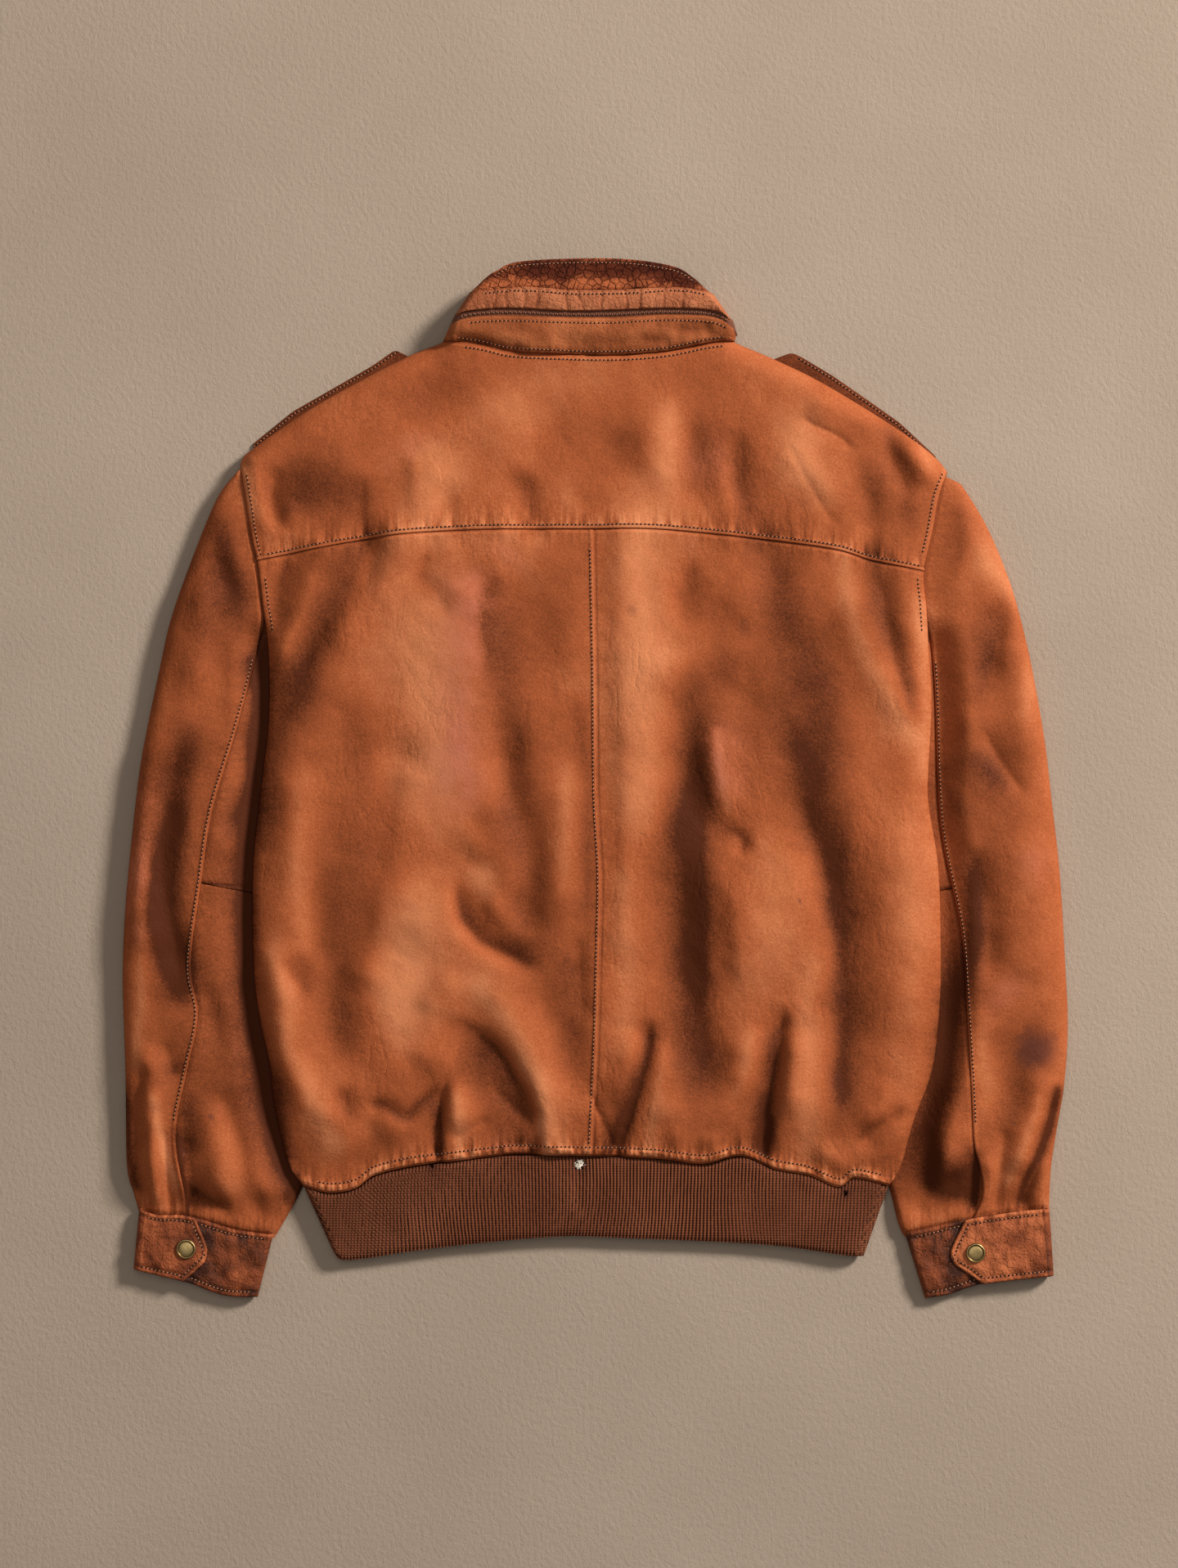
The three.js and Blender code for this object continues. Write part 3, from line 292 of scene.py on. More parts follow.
SLEEVE_FOLDS = [
    # left arm
    (-5.0, 12, 9, 0.2, [(-315, 30), (-326, -3), (-332, -44), (-330, -80), (-323, -117), (-316, -162)]),
    (3.4, 9, 10, 0, [(-334, 40), (-344, -20), (-347, -80), (-343, -140)]),
    (-3.4, 9, 9, 0.1, [(-298, 184), (-284, 158), (-270, 130)]),
    (3.0, 10, 10, 0, [(-300, 160), (-302, 110), (-310, 60)]),
    (-2.4, 10, 9, 0, [(-286, 120), (-288, 70), (-296, 30)]),
    (-3.4, 8, 8, 0.4, [(-334, -190), (-323, -219), (-314, -236)]),
    (3.2, 8, 8, 0, [(-344, -196), (-340, -226), (-342, -262)]),
    (-3.6, 5, 5, 0.5, [(-344, -214), (-352, -250), (-350, -292), (-346, -326)]),
    (2.6, 5, 5, 0.1, [(-337, -250), (-338, -286), (-335, -322)]),
    (-2.6, 4, 5, 0.5, [(-329, -262), (-328, -296), (-324, -330)]),
    (-2.6, 7, 7, 0, [(-303, -150), (-290, -186), (-284, -214)]),
    (-3.2, 7, 7, 0.2, [(-291, -232), (-276, -262), (-262, -300)]),
    (3.2, 8, 8, 0, [(-300, -240), (-290, -276), (-280, -322)]),
    (2.2, 7, 7, 0, [(-268, -250), (-252, -288), (-246, -322)]),
    (-2.2, 5, 5, 0.3, [(-262, -306), (-258, -326), (-256, -344)]),
    (-3.6, 2, 7, 0.5, [(-316, -262), (-312, -292), (-309, -316), (-310, -336)]),
    (2.0, 7, 6, 0, [(-300, -292), (-286, -304), (-268, -310)]),
    (-2.2, 4, 4, 0.5, [(-310, -308), (-294, -318), (-276, -322)]),
    (2.0, 8, 8, 0, [(-276, -30), (-284, -66)]),
    # right arm
    (-4.2, 14, 6, 0.1, [(300, 156), (308, 121), (295, 56)]),
    (3.0, 10, 10, 0, [(328, 110), (330, 60), (334, 6)]),
    (-3.0, 5, 6, 0.6, [(294, 42), (306, 18), (329, -14)]),
    (2.4, 8, 8, 0, [(284, 60), (288, 16), (296, -20)]),
    (-3.6, 9, 7, 0.2, [(284, -46), (296, -84), (300, -120), (298, -160)]),
    (3.0, 11, 12, 0, [(322, -30), (328, -90), (330, -160)]),
    (-2.2, 10, 10, 0, [(306, -186), (312, -220), (308, -258)]),
    (-4.4, 5, 5, 0.6, [(354, -240), (340, -282), (331, -307), (324, -329)]),
    (3.0, 7, 7, 0, [(344, -220), (330, -262), (318, -300)]),
    (2.6, 5, 5, 0, [(345, -284), (340, -306), (336, -326)]),
    (-2.8, 5, 5, 0.4, [(312, -262), (308, -296), (304, -330)]),
    (-2.6, 8, 8, 0, [(272, -168), (268, -206), (262, -240)]),
    (2.8, 8, 8, 0, [(276, -214), (270, -258), (262, -300)]),
    (-2.6, 5, 5, 0.3, [(256, -262), (252, -300), (246, -336)]),
    (-4.2, 9, 3, 0.4, [(285, -276), (290, -302), (286, -334)]),
    (2.2, 6, 6, 0, [(276, -276), (262, -294), (250, -306)]),
    (-2.2, 5, 5, 0.4, [(284, -300), (268, -304), (250, -318)]),
    (1.8, 4, 4, 0.2, [(299, -284), (301, -306), (294, -330)]),
]
# ---- Painted fold shade and highlights, painted shadows beside the body and in the slits, and patches of dye, dirt and wear: (amount, width on the -X side, width on the +X side, path) ----
FOLD_SHADE_AND_DYE = [
    # yoke
    (0.60, 6, 7, [(-262, 252), (-261, 222), (-261, 190)]),
    (-0.55, 20, 20, [(-240, 262), (-226, 230), (-214, 192)]),
    (-0.40, 11, 11, [(-238, 234), (-232, 210), (-230, 188)]),
    (-0.50, 34, 30, [(-212, 272), (-196, 230), (-188, 190)]),
    (-0.45, 10, 8, [(-180, 244), (-182, 190)]),
    (0.65, 24, 26, [(-138, 292), (-124, 250), (-126, 192)]),
    (0.45, 20, 24, [(-112, 286), (-66, 284), (-20, 276)]),
    (-0.40, 20, 20, [(-154, 306), (-134, 286), (-112, 256)]),
    (-0.30, 8, 8, [(-104, 226), (-106, 190)]),
    (-0.65, 8, 9, [(-62, 244), (-53, 216), (-46, 190)]),
    (0.30, 12, 14, [(-24, 250), (-22, 196)]),
    (-0.28, 12, 10, [(20, 286), (20, 214)]),
    (0.70, 10, 12, [(54, 300), (52, 250), (50, 204)]),
    (-0.62, 17, 17, [(78, 296), (77, 240), (78, 204)]),
    (-0.50, 11, 12, [(110, 276), (111, 236), (112, 196)]),
    (0.35, 7, 7, [(96, 252), (96, 200)]),
    (0.85, 17, 18, [(168, 296), (156, 256), (170, 222), (188, 192)]),
    (-0.60, 9, 11, [(219, 282), (226, 258), (234, 226), (243, 180)]),
    (0.40, 6, 6, [(246, 262), (256, 226)]),
    (-0.60, 11, 11, [(200, 262), (208, 222), (211, 186)]),
    (0.30, 26, 26, [(-90, 312), (-40, 306), (20, 308)]),
    (-0.12, 20, 24, [(-34, 300), (-4, 262), (2, 210)]),
    # upper back
    (-0.60, 8, 9, [(-238, 166), (-244, 138), (-240, 100)]),
    (0.40, 6, 6, [(-216, 168), (-226, 128), (-242, 92)]),
    (-0.75, 18, 16, [(-176, 182), (-196, 138), (-214, 106), (-226, 76), (-238, 28), (-244, -14),
                     (-254, -64)]),
    (0.30, 9, 9, [(-158, 184), (-172, 148), (-192, 112)]),
    (-0.35, 18, 16, [(-222, 116), (-222, 70), (-226, 24)]),
    (-0.45, 20, 20, [(-182, 84), (-182, 0), (-184, -80), (-190, -150), (-200, -226)]),
    (0.88, 32, 28, [(-124, 180), (-124, 110), (-122, 40), (-122, -20), (-132, -66)]),
    (-0.30, 6, 6, [(-127, 180), (-133, 156), (-120, 132)]),
    (-0.80, 8, 44, [(-86, 160), (-84, 118), (-76, 60)]),
    (-0.45, 10, 16, [(-82, 156), (-74, 132)]),
    (0.50, 14, 14, [(-66, 186), (-30, 184)]),
    (-0.75, 17, 18, [(-66, 110), (-62, 10), (-58, -60), (-54, -130)]),
    (-0.55, 8, 9, [(-12, 74), (-10, -10), (-8, -70), (-8, -116)]),
    (0.45, 8, 8, [(-27, 26), (-27, -30), (-29, -96)]),
    (0.75, 20, 21, [(34, 198), (35, 130), (34, 40), (32, -20), (28, -66)]),
    (0.50, 14, 14, [(24, -50), (23, -140), (20, -230)]),
    (-0.60, 13, 14, [(80, 180), (74, 150), (70, 112)]),
    (0.30, 16, 16, [(104, 184), (104, 140)]),
    (-0.60, 26, 24, [(118, 190), (140, 144), (160, 98), (180, 50), (192, 0)]),
    (-0.45, 44, 34, [(112, 130), (134, 70), (156, 10), (176, -50)]),
    (-0.25, 16, 14, [(144, 160), (150, 80)]),
    (-0.80, 10, 11, [(209, 194), (218, 136), (229, 90), (246, 34)]),
    (0.65, 9, 9, [(188, 176), (202, 106), (220, 62), (246, 20)]),
    (0.65, 9, 10, [(244, 152), (246, 100), (247, 40), (246, -10)]),
    (-0.40, 14, 16, [(100, 104), (96, 66)]),
    (0.30, 12, 12, [(56, 116), (48, 76)]),
    # lower left back
    (-0.45, 14, 20, [(-206, -20), (-203, -80), (-200, -140), (-190, -196), (-172, -232)]),
    (0.30, 8, 9, [(-222, 20), (-226, -40), (-226, -96), (-216, -140)]),
    (-0.50, 6, 6, [(-240, -124), (-228, -150), (-214, -166)]),
    (0.60, 13, 12, [(-244, -106), (-238, -164), (-230, -212), (-212, -254), (-184, -292)]),
    (-0.60, 6, 6, [(-200, -228), (-190, -250), (-180, -262)]),
    (-0.75, 4, 5, [(-180, -249), (-160, -251), (-145, -257), (-128, -243), (-116, -233)]),
    (1.15, 28, 26, [(-140, -50), (-142, -100), (-148, -150), (-152, -226)]),
    (-1.15, 5, 14, [(-104, -66), (-105, -92), (-97, -112), (-82, -127), (-56, -139), (-30, -147)]),
    (0.60, 12, 12, [(-88, -52), (-88, -78), (-86, -102)]),
    (-1.05, 34, 5, [(-132, -170), (-112, -184), (-92, -192), (-64, -222), (-50, -256), (-46, -290)]),
    (0.75, 8, 9, [(-106, -142), (-82, -166), (-60, -194), (-46, -234), (-38, -286)]),
    (-1.15, 10, 4, [(-116, -230), (-119, -258), (-118, -292)]),
    (0.75, 6, 7, [(-106, -226), (-102, -256), (-100, -288)]),
    (-0.55, 14, 14, [(-22, -110), (-16, -160), (-15, -200), (-18, -244)]),
    (-0.25, 16, 16, [(-52, -80), (-38, -120), (-24, -170)]),
    (0.30, 9, 9, [(-70, -262), (-40, -284)]),
    (0.35, 10, 10, [(-196, -262), (-204, -300)]),
    # lower right back
    (-0.70, 20, 18, [(72, 110), (76, 40), (82, 0), (94, -38), (108, -60)]),
    (-0.55, 20, 20, [(74, 64), (74, 0), (72, -70)]),
    (-0.70, 5, 5, [(96, -34), (114, -50), (108, -64)]),
    (0.75, 5, 5, [(92, 44), (97, 4), (104, -36)]),
    (-1.25, 26, 13, [(72, 20), (72, -60), (74, -130), (82, -200), (88, -266)]),
    (-0.40, 12, 12, [(60, -256), (66, -292)]),
    (-0.50, 13, 11, [(78, -20), (78, -110), (84, -180)]),
    (-0.35, 16, 15, [(172, 60), (162, -10), (150, -80)]),
    (0.22, 30, 26, [(-156, 150), (-150, 90), (-150, 20)]),
    (0.45, 24, 24, [(136, -14), (132, -80), (130, -130), (128, -180)]),
    (0.55, 12, 12, [(162, -120), (161, -200), (158, -290)]),
    (-0.40, 22, 24, [(176, 70), (184, -20), (192, -80), (196, -140)]),
    (-0.45, 9, 16, [(152, 60), (160, -10), (172, -60)]),
    (-1.15, 10, 22, [(160, -10), (180, -90), (188, -160), (188, -220), (184, -290)]),
    (0.32, 22, 20, [(238, 10), (240, -80), (236, -160), (228, -240), (212, -290)]),
    (-1.20, 13, 5, [(145, -166), (138, -210), (130, -256), (126, -300)]),
    (-0.40, 14, 6, [(130, -226), (121, -294)]),
    (0.50, 8, 8, [(118, -180), (110, -220), (100, -256)]),
    (-1.20, 9, 5, [(44, -178), (36, -218), (26, -256), (15, -300)]),
    (-0.60, 14, 12, [(10, -206), (20, -244), (14, -290)]),
    (0.45, 7, 7, [(54, -190), (48, -240), (42, -280)]),
    (-0.45, 5, 5, [(238, -246), (216, -266), (196, -284)]),
    # left arm: the dark strokes along the body's edge are painted shadow cast by the body
    (-1.20, 17, 14, [(-290, 226), (-283, 182), (-273, 140), (-266, 100)]),
    (-0.40, 26, 26, [(-306, 206), (-312, 130), (-322, 60)]),
    (0.45, 9, 9, [(-308, 162), (-316, 116), (-326, 70), (-334, 20)]),
    (0.30, 20, 20, [(-306, 96), (-304, 50), (-306, 10)]),
    (-0.55, 15, 13, [(-310, 60), (-316, 10), (-322, -40)]),
    (-1.60, 13, 12, [(-320, -6), (-328, -50), (-330, -90), (-324, -126), (-312, -176)]),
    (-0.45, 44, 44, [(-316, 200), (-318, -20), (-310, -160), (-300, -330)]),
    (0.65, 7, 7, [(-344, -40), (-346, -110), (-346, -180), (-349, -230)]),
    (0.30, 10, 10, [(-304, 16), (-305, -60), (-302, -120), (-294, -176)]),
    (0.90, 5, 6, [(-336, -226), (-331, -258), (-323, -290), (-317, -318)]),
    (-1.10, 6, 6, [(-359, -226), (-355, -270), (-349, -320)]),
    (-0.60, 8, 8, [(-309, -230), (-306, -262), (-300, -292)]),
    (-1.30, 2, 7, [(-318, -256), (-313, -290), (-309, -316), (-309, -340)]),
    (-0.70, 5, 5, [(-312, -306), (-294, -319), (-270, -324)]),
    (0.40, 9, 9, [(-286, -246), (-281, -290), (-274, -330)]),
    (-0.50, 6, 6, [(-322, -210), (-314, -226)]),
    (-1.00, 18, 12, [(-268, 10), (-266, -80), (-264, -150), (-256, -210), (-244, -262), (-236, -310)]),
    (-0.90, 8, 8, [(-264, 112), (-260, 60), (-262, 10), (-270, -40)]),
    # right arm: the dark strokes beside the under-sleeve seam and in the slit are painted shadow
    (-0.45, 9, 8, [(280, 224), (280, 190), (272, 150)]),
    (0.60, 12, 12, [(288, 196), (306, 160), (322, 120)]),
    (-0.85, 20, 9, [(290, 156), (302, 124), (297, 92), (288, 52)]),
    (0.55, 10, 10, [(328, 100), (326, 60), (322, 30)]),
    (-0.70, 14, 9, [(268, 32), (296, 10), (322, -12)]),
    (-0.50, 8, 8, [(268, 30), (272, -10), (290, -40)]),
    (0.15, 24, 22, [(322, -20), (330, -80), (332, -140)]),
    (-0.22, 30, 30, [(300, 110), (310, -20), (312, -160), (300, -320)]),
    (-1.30, 13, 11, [(284, -44), (288, -90), (290, -120), (282, -152), (273, -186), (266, -224),
                     (258, -270), (254, -330)]),
    (-0.80, 12, 12, [(276, -280), (270, -330)]),
    (0.45, 10, 10, [(298, -160), (296, -230), (286, -290)]),
    (-0.55, 13, 13, [(344, -160), (332, -212), (318, -250), (302, -284)]),
    (-1.50, 5, 5, [(355, -230), (344, -270), (334, -302), (323, -332)]),
    (0.45, 6, 6, [(340, -236), (326, -276), (314, -316)]),
    (-1.40, 10, 3, [(287, -272), (291, -303), (286, -340)]),
    (-0.60, 10, 10, [(284, -304), (262, -312), (244, -322)]),
]
# Rosy bloom where the finish has been rubbed away.
PINKS = [
    (0.9, 18, [(-92, 172), (-96, 130), (-104, 60), (-104, 10), (-110, -34)]),
    (0.5, 14, [(-58, 176), (-70, 162)]),
    (0.6, 16, [(60, 250), (110, 236)]),
    (0.6, 18, [(90, 60), (96, 10), (98, -30)]),
    (0.5, 20, [(-340, 20), (-345, -60), (-350, -140)]),
    (0.5, 16, [(300, -150), (322, -176)]),
    (0.4, 18, [(-150, 266), (-136, 240)]),
    (0.4, 14, [(-84, -274), (-60, -280)]),
    (0.4, 14, [(330, -40), (340, -90)]),
]
# Stains: (depth, radius across, radius along, centre)
STAINS = [
    (1.0, 19, 17, (336, -206)),
    (0.8, 1.7, 2.2, (155, -92)),
    (0.9, 1.6, 1.6, (-293.5, -256)),
    (0.7, 1.2, 1.2, (-290.5, -258.5)),
    (0.8, 2.0, 1.6, (318, -261)),
    (0.4, 3.0, 2.4, (222, -288)),
    (0.35, 5.0, 4.0, (28, 130)),
    (0.30, 6.0, 9.0, (112, 116)),
]


# ---- Small helpers ----
def ease(start, end, value):
    t = np.clip((value - start) / (end - start), 0, 1)
    return t * t * (3 - 2 * t)


def lerp(a, b, t):
    return a + (b - a) * t


def between(low, low_end, high_end, high, value):
    """1 from `low_end` to `high_end`, and 0 outside `low` to `high`."""
    return ease(low, low_end, value) * ease(high, high_end, value)


def groove(value, centre, width):
    return np.exp(-(((value - centre) / width) ** 2))


def roll(distance, reach):
    """Height of a rounded edge: 0 on the edge and 1 from `reach` inwards."""
    t = np.clip(1 - distance / reach, 0, 1)
    return np.sqrt(1 - t * t)


def smooth(points, steps=8):
    """A smooth curve through these points, as a dense line of points."""
    p = np.asarray(points, float)
    p = np.vstack([2 * p[0] - p[1], p, 2 * p[-1] - p[-2]])
    t = np.linspace(0, 1, steps, endpoint=False)[:, None]
    spans = []
    for a, b, c, d in zip(p, p[1:], p[2:], p[3:]):
        spans.append(0.5 * (2 * b + (c - a) * t + (2 * a - 5 * b + 4 * c - d) * t**2
                            + (3 * b - 3 * c + d - a) * t**3))
    return np.vstack(spans + [p[-2]])


def crossing(line, key, value):
    order = line if line[-1][key] > line[0][key] else line[::-1]
    return np.interp(value, np.maximum.accumulate(order[:, key]), order[:, 1 - key])


def x_at(line, y):
    return crossing(line, 1, y)


def y_at(line, x):
    return crossing(line, 0, x)


def lengths(line):
    return np.concatenate([[0], np.cumsum(np.hypot(*np.diff(line[:, :2], axis=0).T))])


def travel(line, share):
    """Points at these shares of a line's length."""
    run = lengths(line)
    where = np.asarray(share) * run[-1]
    return np.stack([np.interp(where, run, line[:, k]) for k in range(2)], axis=-1)


def nearest(line, x, y):
    """Distance from a line, which side of it (-1 to 1) and the share of its length."""
    best = np.full(np.shape(x), np.inf)
    side = np.zeros(np.shape(x))
    share = np.zeros(np.shape(x))
    run = lengths(line)
    for i in range(len(line) - 1):
        (ax, ay), (bx, by) = line[i], line[i + 1]
        dx, dy = bx - ax, by - ay
        size = math.hypot(dx, dy)
        if size == 0:
            continue
        t = np.clip(((x - ax) * dx + (y - ay) * dy) / (size * size), 0, 1)
        distance = np.hypot(x - ax - t * dx, y - ay - t * dy)
        closer = distance < best
        best = np.where(closer, distance, best)
        across = (dx * (y - ay) - dy * (x - ax)) / size
        side = np.where(closer, across / np.maximum(distance, 1e-6), side)
        share = np.where(closer, (run[i] + t * size) / run[-1], share)
    return best, np.clip(side, -1, 1), share


def runs_into_seam(x, y):
    """True where a stroke's end meets the yoke seam or the hem, so that it doesn't fade there."""
    on_back = abs(x) < 245
    return on_back and (abs(y - y_at(YOKE_SEAM, x)) < 7 or abs(y - y_at(HEM, x)) < 12)


def stroke(x, y, path, low_side, high_side, crisp=0.0, feathered=False):
    """A soft or crisp stroke along a path, 1 on it and fading out on both sides and at its ends."""
    line = smooth(path, 5)
    reach = 3.2 * max(low_side, high_side)
    near = ((x > line[:, 0].min() - reach) & (x < line[:, 0].max() + reach)
            & (y > line[:, 1].min() - reach) & (y < line[:, 1].max() + reach))
    made = np.zeros(np.shape(x))
    if not near.any():
        return made
    distance, side, share = nearest(line, x[near], y[near])
    wide = distance / lerp(low_side, high_side, (side + 1) / 2)
    soft = np.exp(-wide**2)
    if feathered:
        soft = np.maximum((1 + wide**2) ** -1.3 - FEATHER_END, 0) / (1 - FEATHER_END)
    sharp = np.exp(-1.5 * wide)
    taper = 2.6 if feathered else 1.7
    fade = min(0.45, taper * max(low_side, high_side) / lengths(line)[-1])
    starts = 1 if runs_into_seam(*line[0]) else ease(0, fade, share)
    stops = 1 if runs_into_seam(*line[-1]) else ease(1, 1 - fade, share)
    made[near] = lerp(soft, sharp, crisp) * starts * stops
    return made


def value_noise(x, y, size, seed):
    """Smooth noise from -1 to 1 with bumps about `size` across."""
    table = np.random.default_rng(seed).uniform(-1, 1, (64, 64))
    u, v = x / size + 100, y / size + 100
    i, j = np.floor(u).astype(int), np.floor(v).astype(int)
    s, t = u - i, v - j
    s, t = s * s * (3 - 2 * s), t * t * (3 - 2 * t)
    corner = lambda a, b: table[(i + a) % 64, (j + b) % 64]
    return lerp(lerp(corner(0, 0), corner(1, 0), s), lerp(corner(0, 1), corner(1, 1), s), t)


def rumple(x, y, seed=3):
    """The leather's own slow waves and small creases, in mm."""
    waves = 0.9 * value_noise(x + 0.5 * y, y * 0.55, 46, seed)
    waves = waves + 0.6 * value_noise(x - 0.4 * y, y, 24, seed + 1)
    waves = waves + 0.28 * value_noise(x + 0.2 * y, y, 11, seed + 2)
    return waves + 0.10 * value_noise(x, y, 5.5, seed + 3)


def stations(length, coarse, fine=0.9, start=6.0, end=6.0):
    """Shares along a length: `fine` apart near its two ends and `coarse` apart between."""
    marks = [np.arange(0, start, fine)] if start else []
    marks.append(np.linspace(start, length - end, max(2, round((length - start - end) / coarse) + 1)))
    if end:
        marks.append(length - np.arange(0, end, fine)[::-1])
    return np.unique(np.round(np.concatenate(marks), 4)) / length


def grow(coarse):
    return coarse * 1.0


for _, outlines in SIDES:
    for outline_name, outline in list(outlines.items()):
        if isinstance(outline, list) and outline_name != "strap":
            outlines[outline_name] = smooth(outline)
YOKE_SEAM, CENTRE_SEAM, HEM, RIB_END = (smooth(line) for line in (YOKE_SEAM, CENTRE_SEAM, HEM, RIB_END))
for level in COLLAR:
    level["line"] = smooth(level["line"])


# ---- Heights ----
def inside_of(side, outline, x, y):
    return side["sign"] * (x_at(side[outline], y) - x)


def over_sleeve(y):
    return ease(128, 98, y)


def creases(folds, x, y):
    lift = np.zeros(np.shape(x))
    for height, low_side, high_side, crisp, path in folds:
        shape = stroke(x, y, path, FOLD_SPREAD * low_side, FOLD_SPREAD * high_side, crisp)
        lift += FOLD_DEPTH * height * shape
    return lift


def by_half(x, left, right):
    return np.where(x < 0, left, right)


def body_inside(x, y):
    return by_half(x, inside_of(LEFT, "body_edge", x, y), inside_of(RIGHT, "body_edge", x, y))


def from_shoulder(x, y):
    return np.minimum(nearest(LEFT["shoulder"], x, y)[0], nearest(RIGHT["shoulder"], x, y)[0])


def body_top(x, y):
    lift = creases(BODY_FOLDS, x, y) * ease(-306, -284, y) + rumple(x, y)
    full = lerp(BODY_LOFT, HEM_LOFT, ease(-250, -300, y)) + lift
    edge = lerp(ARMHOLE_LOFT, SIDE_FOLD_HEIGHT, over_sleeve(y))
    inside = body_inside(x, y)
    height = edge + (full - edge) * roll(inside, SIDE_ROLL)
    return SHOULDER_FOLD + (height - SHOULDER_FOLD) * roll(from_shoulder(x, y), SHOULDER_ROLL)


def turned_edge(d):
    """A folded and topstitched edge: it rounds over at the seam and dips where the thread runs."""
    lip = 0.6 * between(-0.3, 1.1, 3.2, 5.6, d) - 0.5 * ease(1.0, 0, d)
    return lip - 0.2 * groove(d, YOKE_STITCH_INSET, 0.8)


def tucked_edge(d):
    """The edge that runs in under a turned one."""
    return -0.55 * ease(2.0, 0.2, d)


def puckers(run, d, pitch, reach, seed):
    """Small gathers that stand across a seam and fade away from it."""
    strength = 0.45 + 0.55 * value_noise(run, 0 * run, 31, seed + 7)
    return strength * value_noise(run, 0 * run, pitch, seed) * np.exp(-np.abs(d) / reach) * ease(0, 1.5, d)


def yoke_height(x, y):
    neck_end = by_half(x, COLLAR[0]["line"][0][0], COLLAR[0]["line"][-1][0])
    in_neck = ease(0, 26, np.abs(neck_end) + 8 - np.abs(x)) * ease(290, 322, y)
    neck = lerp(BODY_LOFT, COLLAR[0]["height"], ease(290, 330, y))
    height = lerp(body_top(x, y), neck + 0.5 * rumple(x, y), in_neck)
    above = y - y_at(YOKE_SEAM, x)
    height = height + turned_edge(above) + 1.3 * puckers(x, above - 3, 5.2, 9, 21)
    below_neck = y_at(COLLAR[0]["line"], x) - y
    height = height + in_neck * (0.8 * puckers(x, below_neck, 6.5, 9, 23) - 1.0 * ease(2.5, 0.5, below_neck))
    return height + turned_edge(body_inside(x, y)) * ease(150, 165, y)


def back_height(x, y):
    height = body_top(x, y)
    below = y_at(YOKE_SEAM, x) - y
    height = height + tucked_edge(below) + 0.7 * puckers(x, below, 6.0, 8, 25)
    centre = x - x_at(CENTRE_SEAM, y)
    left_of = np.where(centre < 0, turned_edge(-centre * 1.25), tucked_edge(centre))
    height = height + left_of + 0.35 * puckers(y, np.abs(centre), 7.0, 6, 27)
    above = y - y_at(HEM, x)
    gathers = puckers(x, above - 3, 4.4, 6, 29) + 0.8 * puckers(x, above - 5, 9.0, 16, 31)
    height = height + 2.3 * gathers + 0.9 * between(-1, 2, 6.5, 8.5, above)
    height = height - 0.25 * groove(above, HEM_STITCH_INSET, 1.0)
    armhole = body_inside(x, y)
    return height + turned_edge(armhole * 0.8) * (1 - over_sleeve(y - 12))


def sleeve_height(side, x, y):
    outward = -inside_of(side, "body_edge", x, y)
    lift = creases(SLEEVE_FOLDS, x, y) * ease(-334, -322, y) + rumple(x, y, 13)
    full = lerp(SLEEVE_LOFT, CUFF_LOFT, ease(-285, -328, y)) + lift
    tucked = lerp(ARMHOLE_LOFT, TUCKED_SLEEVE, over_sleeve(y))
    near = lerp(tucked, full, ease(-312, -326, y))
    height = near + (full - near) * ease(2, 30, outward)
    cap = side["body_edge"][0][1]
    return SHOULDER_FOLD + (height - SHOULDER_FOLD) * roll(cap - y + CAP_DROP, SHOULDER_ROLL + CAP_DROP)


# ---- Colour maps ----
def shade_and_dye_map(x, y):
    """Painted fold shade and highlights, painted shadows and the dye's darker and lighter patches at each
    point, from -1 to 1.
    """
    tone = 0.12 * value_noise(x, y * 0.6, 52, 41) + 0.12 * value_noise(x + 0.3 * y, y * 0.5, 19, 42)
    wander_x = x + 4.5 * value_noise(x, y, 34, 43) + 1.2 * value_noise(x, y, 12, 45)
    wander_y = y + 4.5 * value_noise(x, y, 34, 44) + 1.2 * value_noise(x, y, 12, 46)
    for amount, low_side, high_side, path in FOLD_SHADE_AND_DYE:
        tone += SHADE_AND_DYE_DEPTH * amount * stroke(wander_x, wander_y, path, low_side, high_side, feathered=True)
    return tone


def pink_map(x, y):
    pink = np.zeros(np.shape(x))
    for amount, width, path in PINKS:
        pink += amount * stroke(x, y, path, width, width)
    return pink * (0.85 + 0.35 * value_noise(x, y, 15, 51))


def stain_map(x, y):
    stain = np.zeros(np.shape(x))
    uneven = 1 + 0.25 * value_noise(x, y, 7, 61)
    for depth, across, along, (cx, cy) in STAINS:
        reach = np.hypot((x - cx) / across, (y - cy) / along) * uneven
        stain += depth * ease(1.25, 0.35, reach)
    return np.clip(stain, 0, 1)


# ---- Meshes ----
def mesh_from(bm, name):
    mesh = bpy.data.meshes.new(name)
    bm.to_mesh(mesh)
    bm.free()
    return mesh


def bevel(bm, geom, offset, segments, affect="EDGES"):
    bmesh.ops.bevel(bm, geom=geom, offset=offset * MM, segments=segments, profile=0.5, affect=affect,
                    material=-1)


def sized(along, across, up):
    """The matrix that stretches a shape to these sizes in mm."""
    return Matrix.Diagonal((along * MM, across * MM, up * MM, 1))


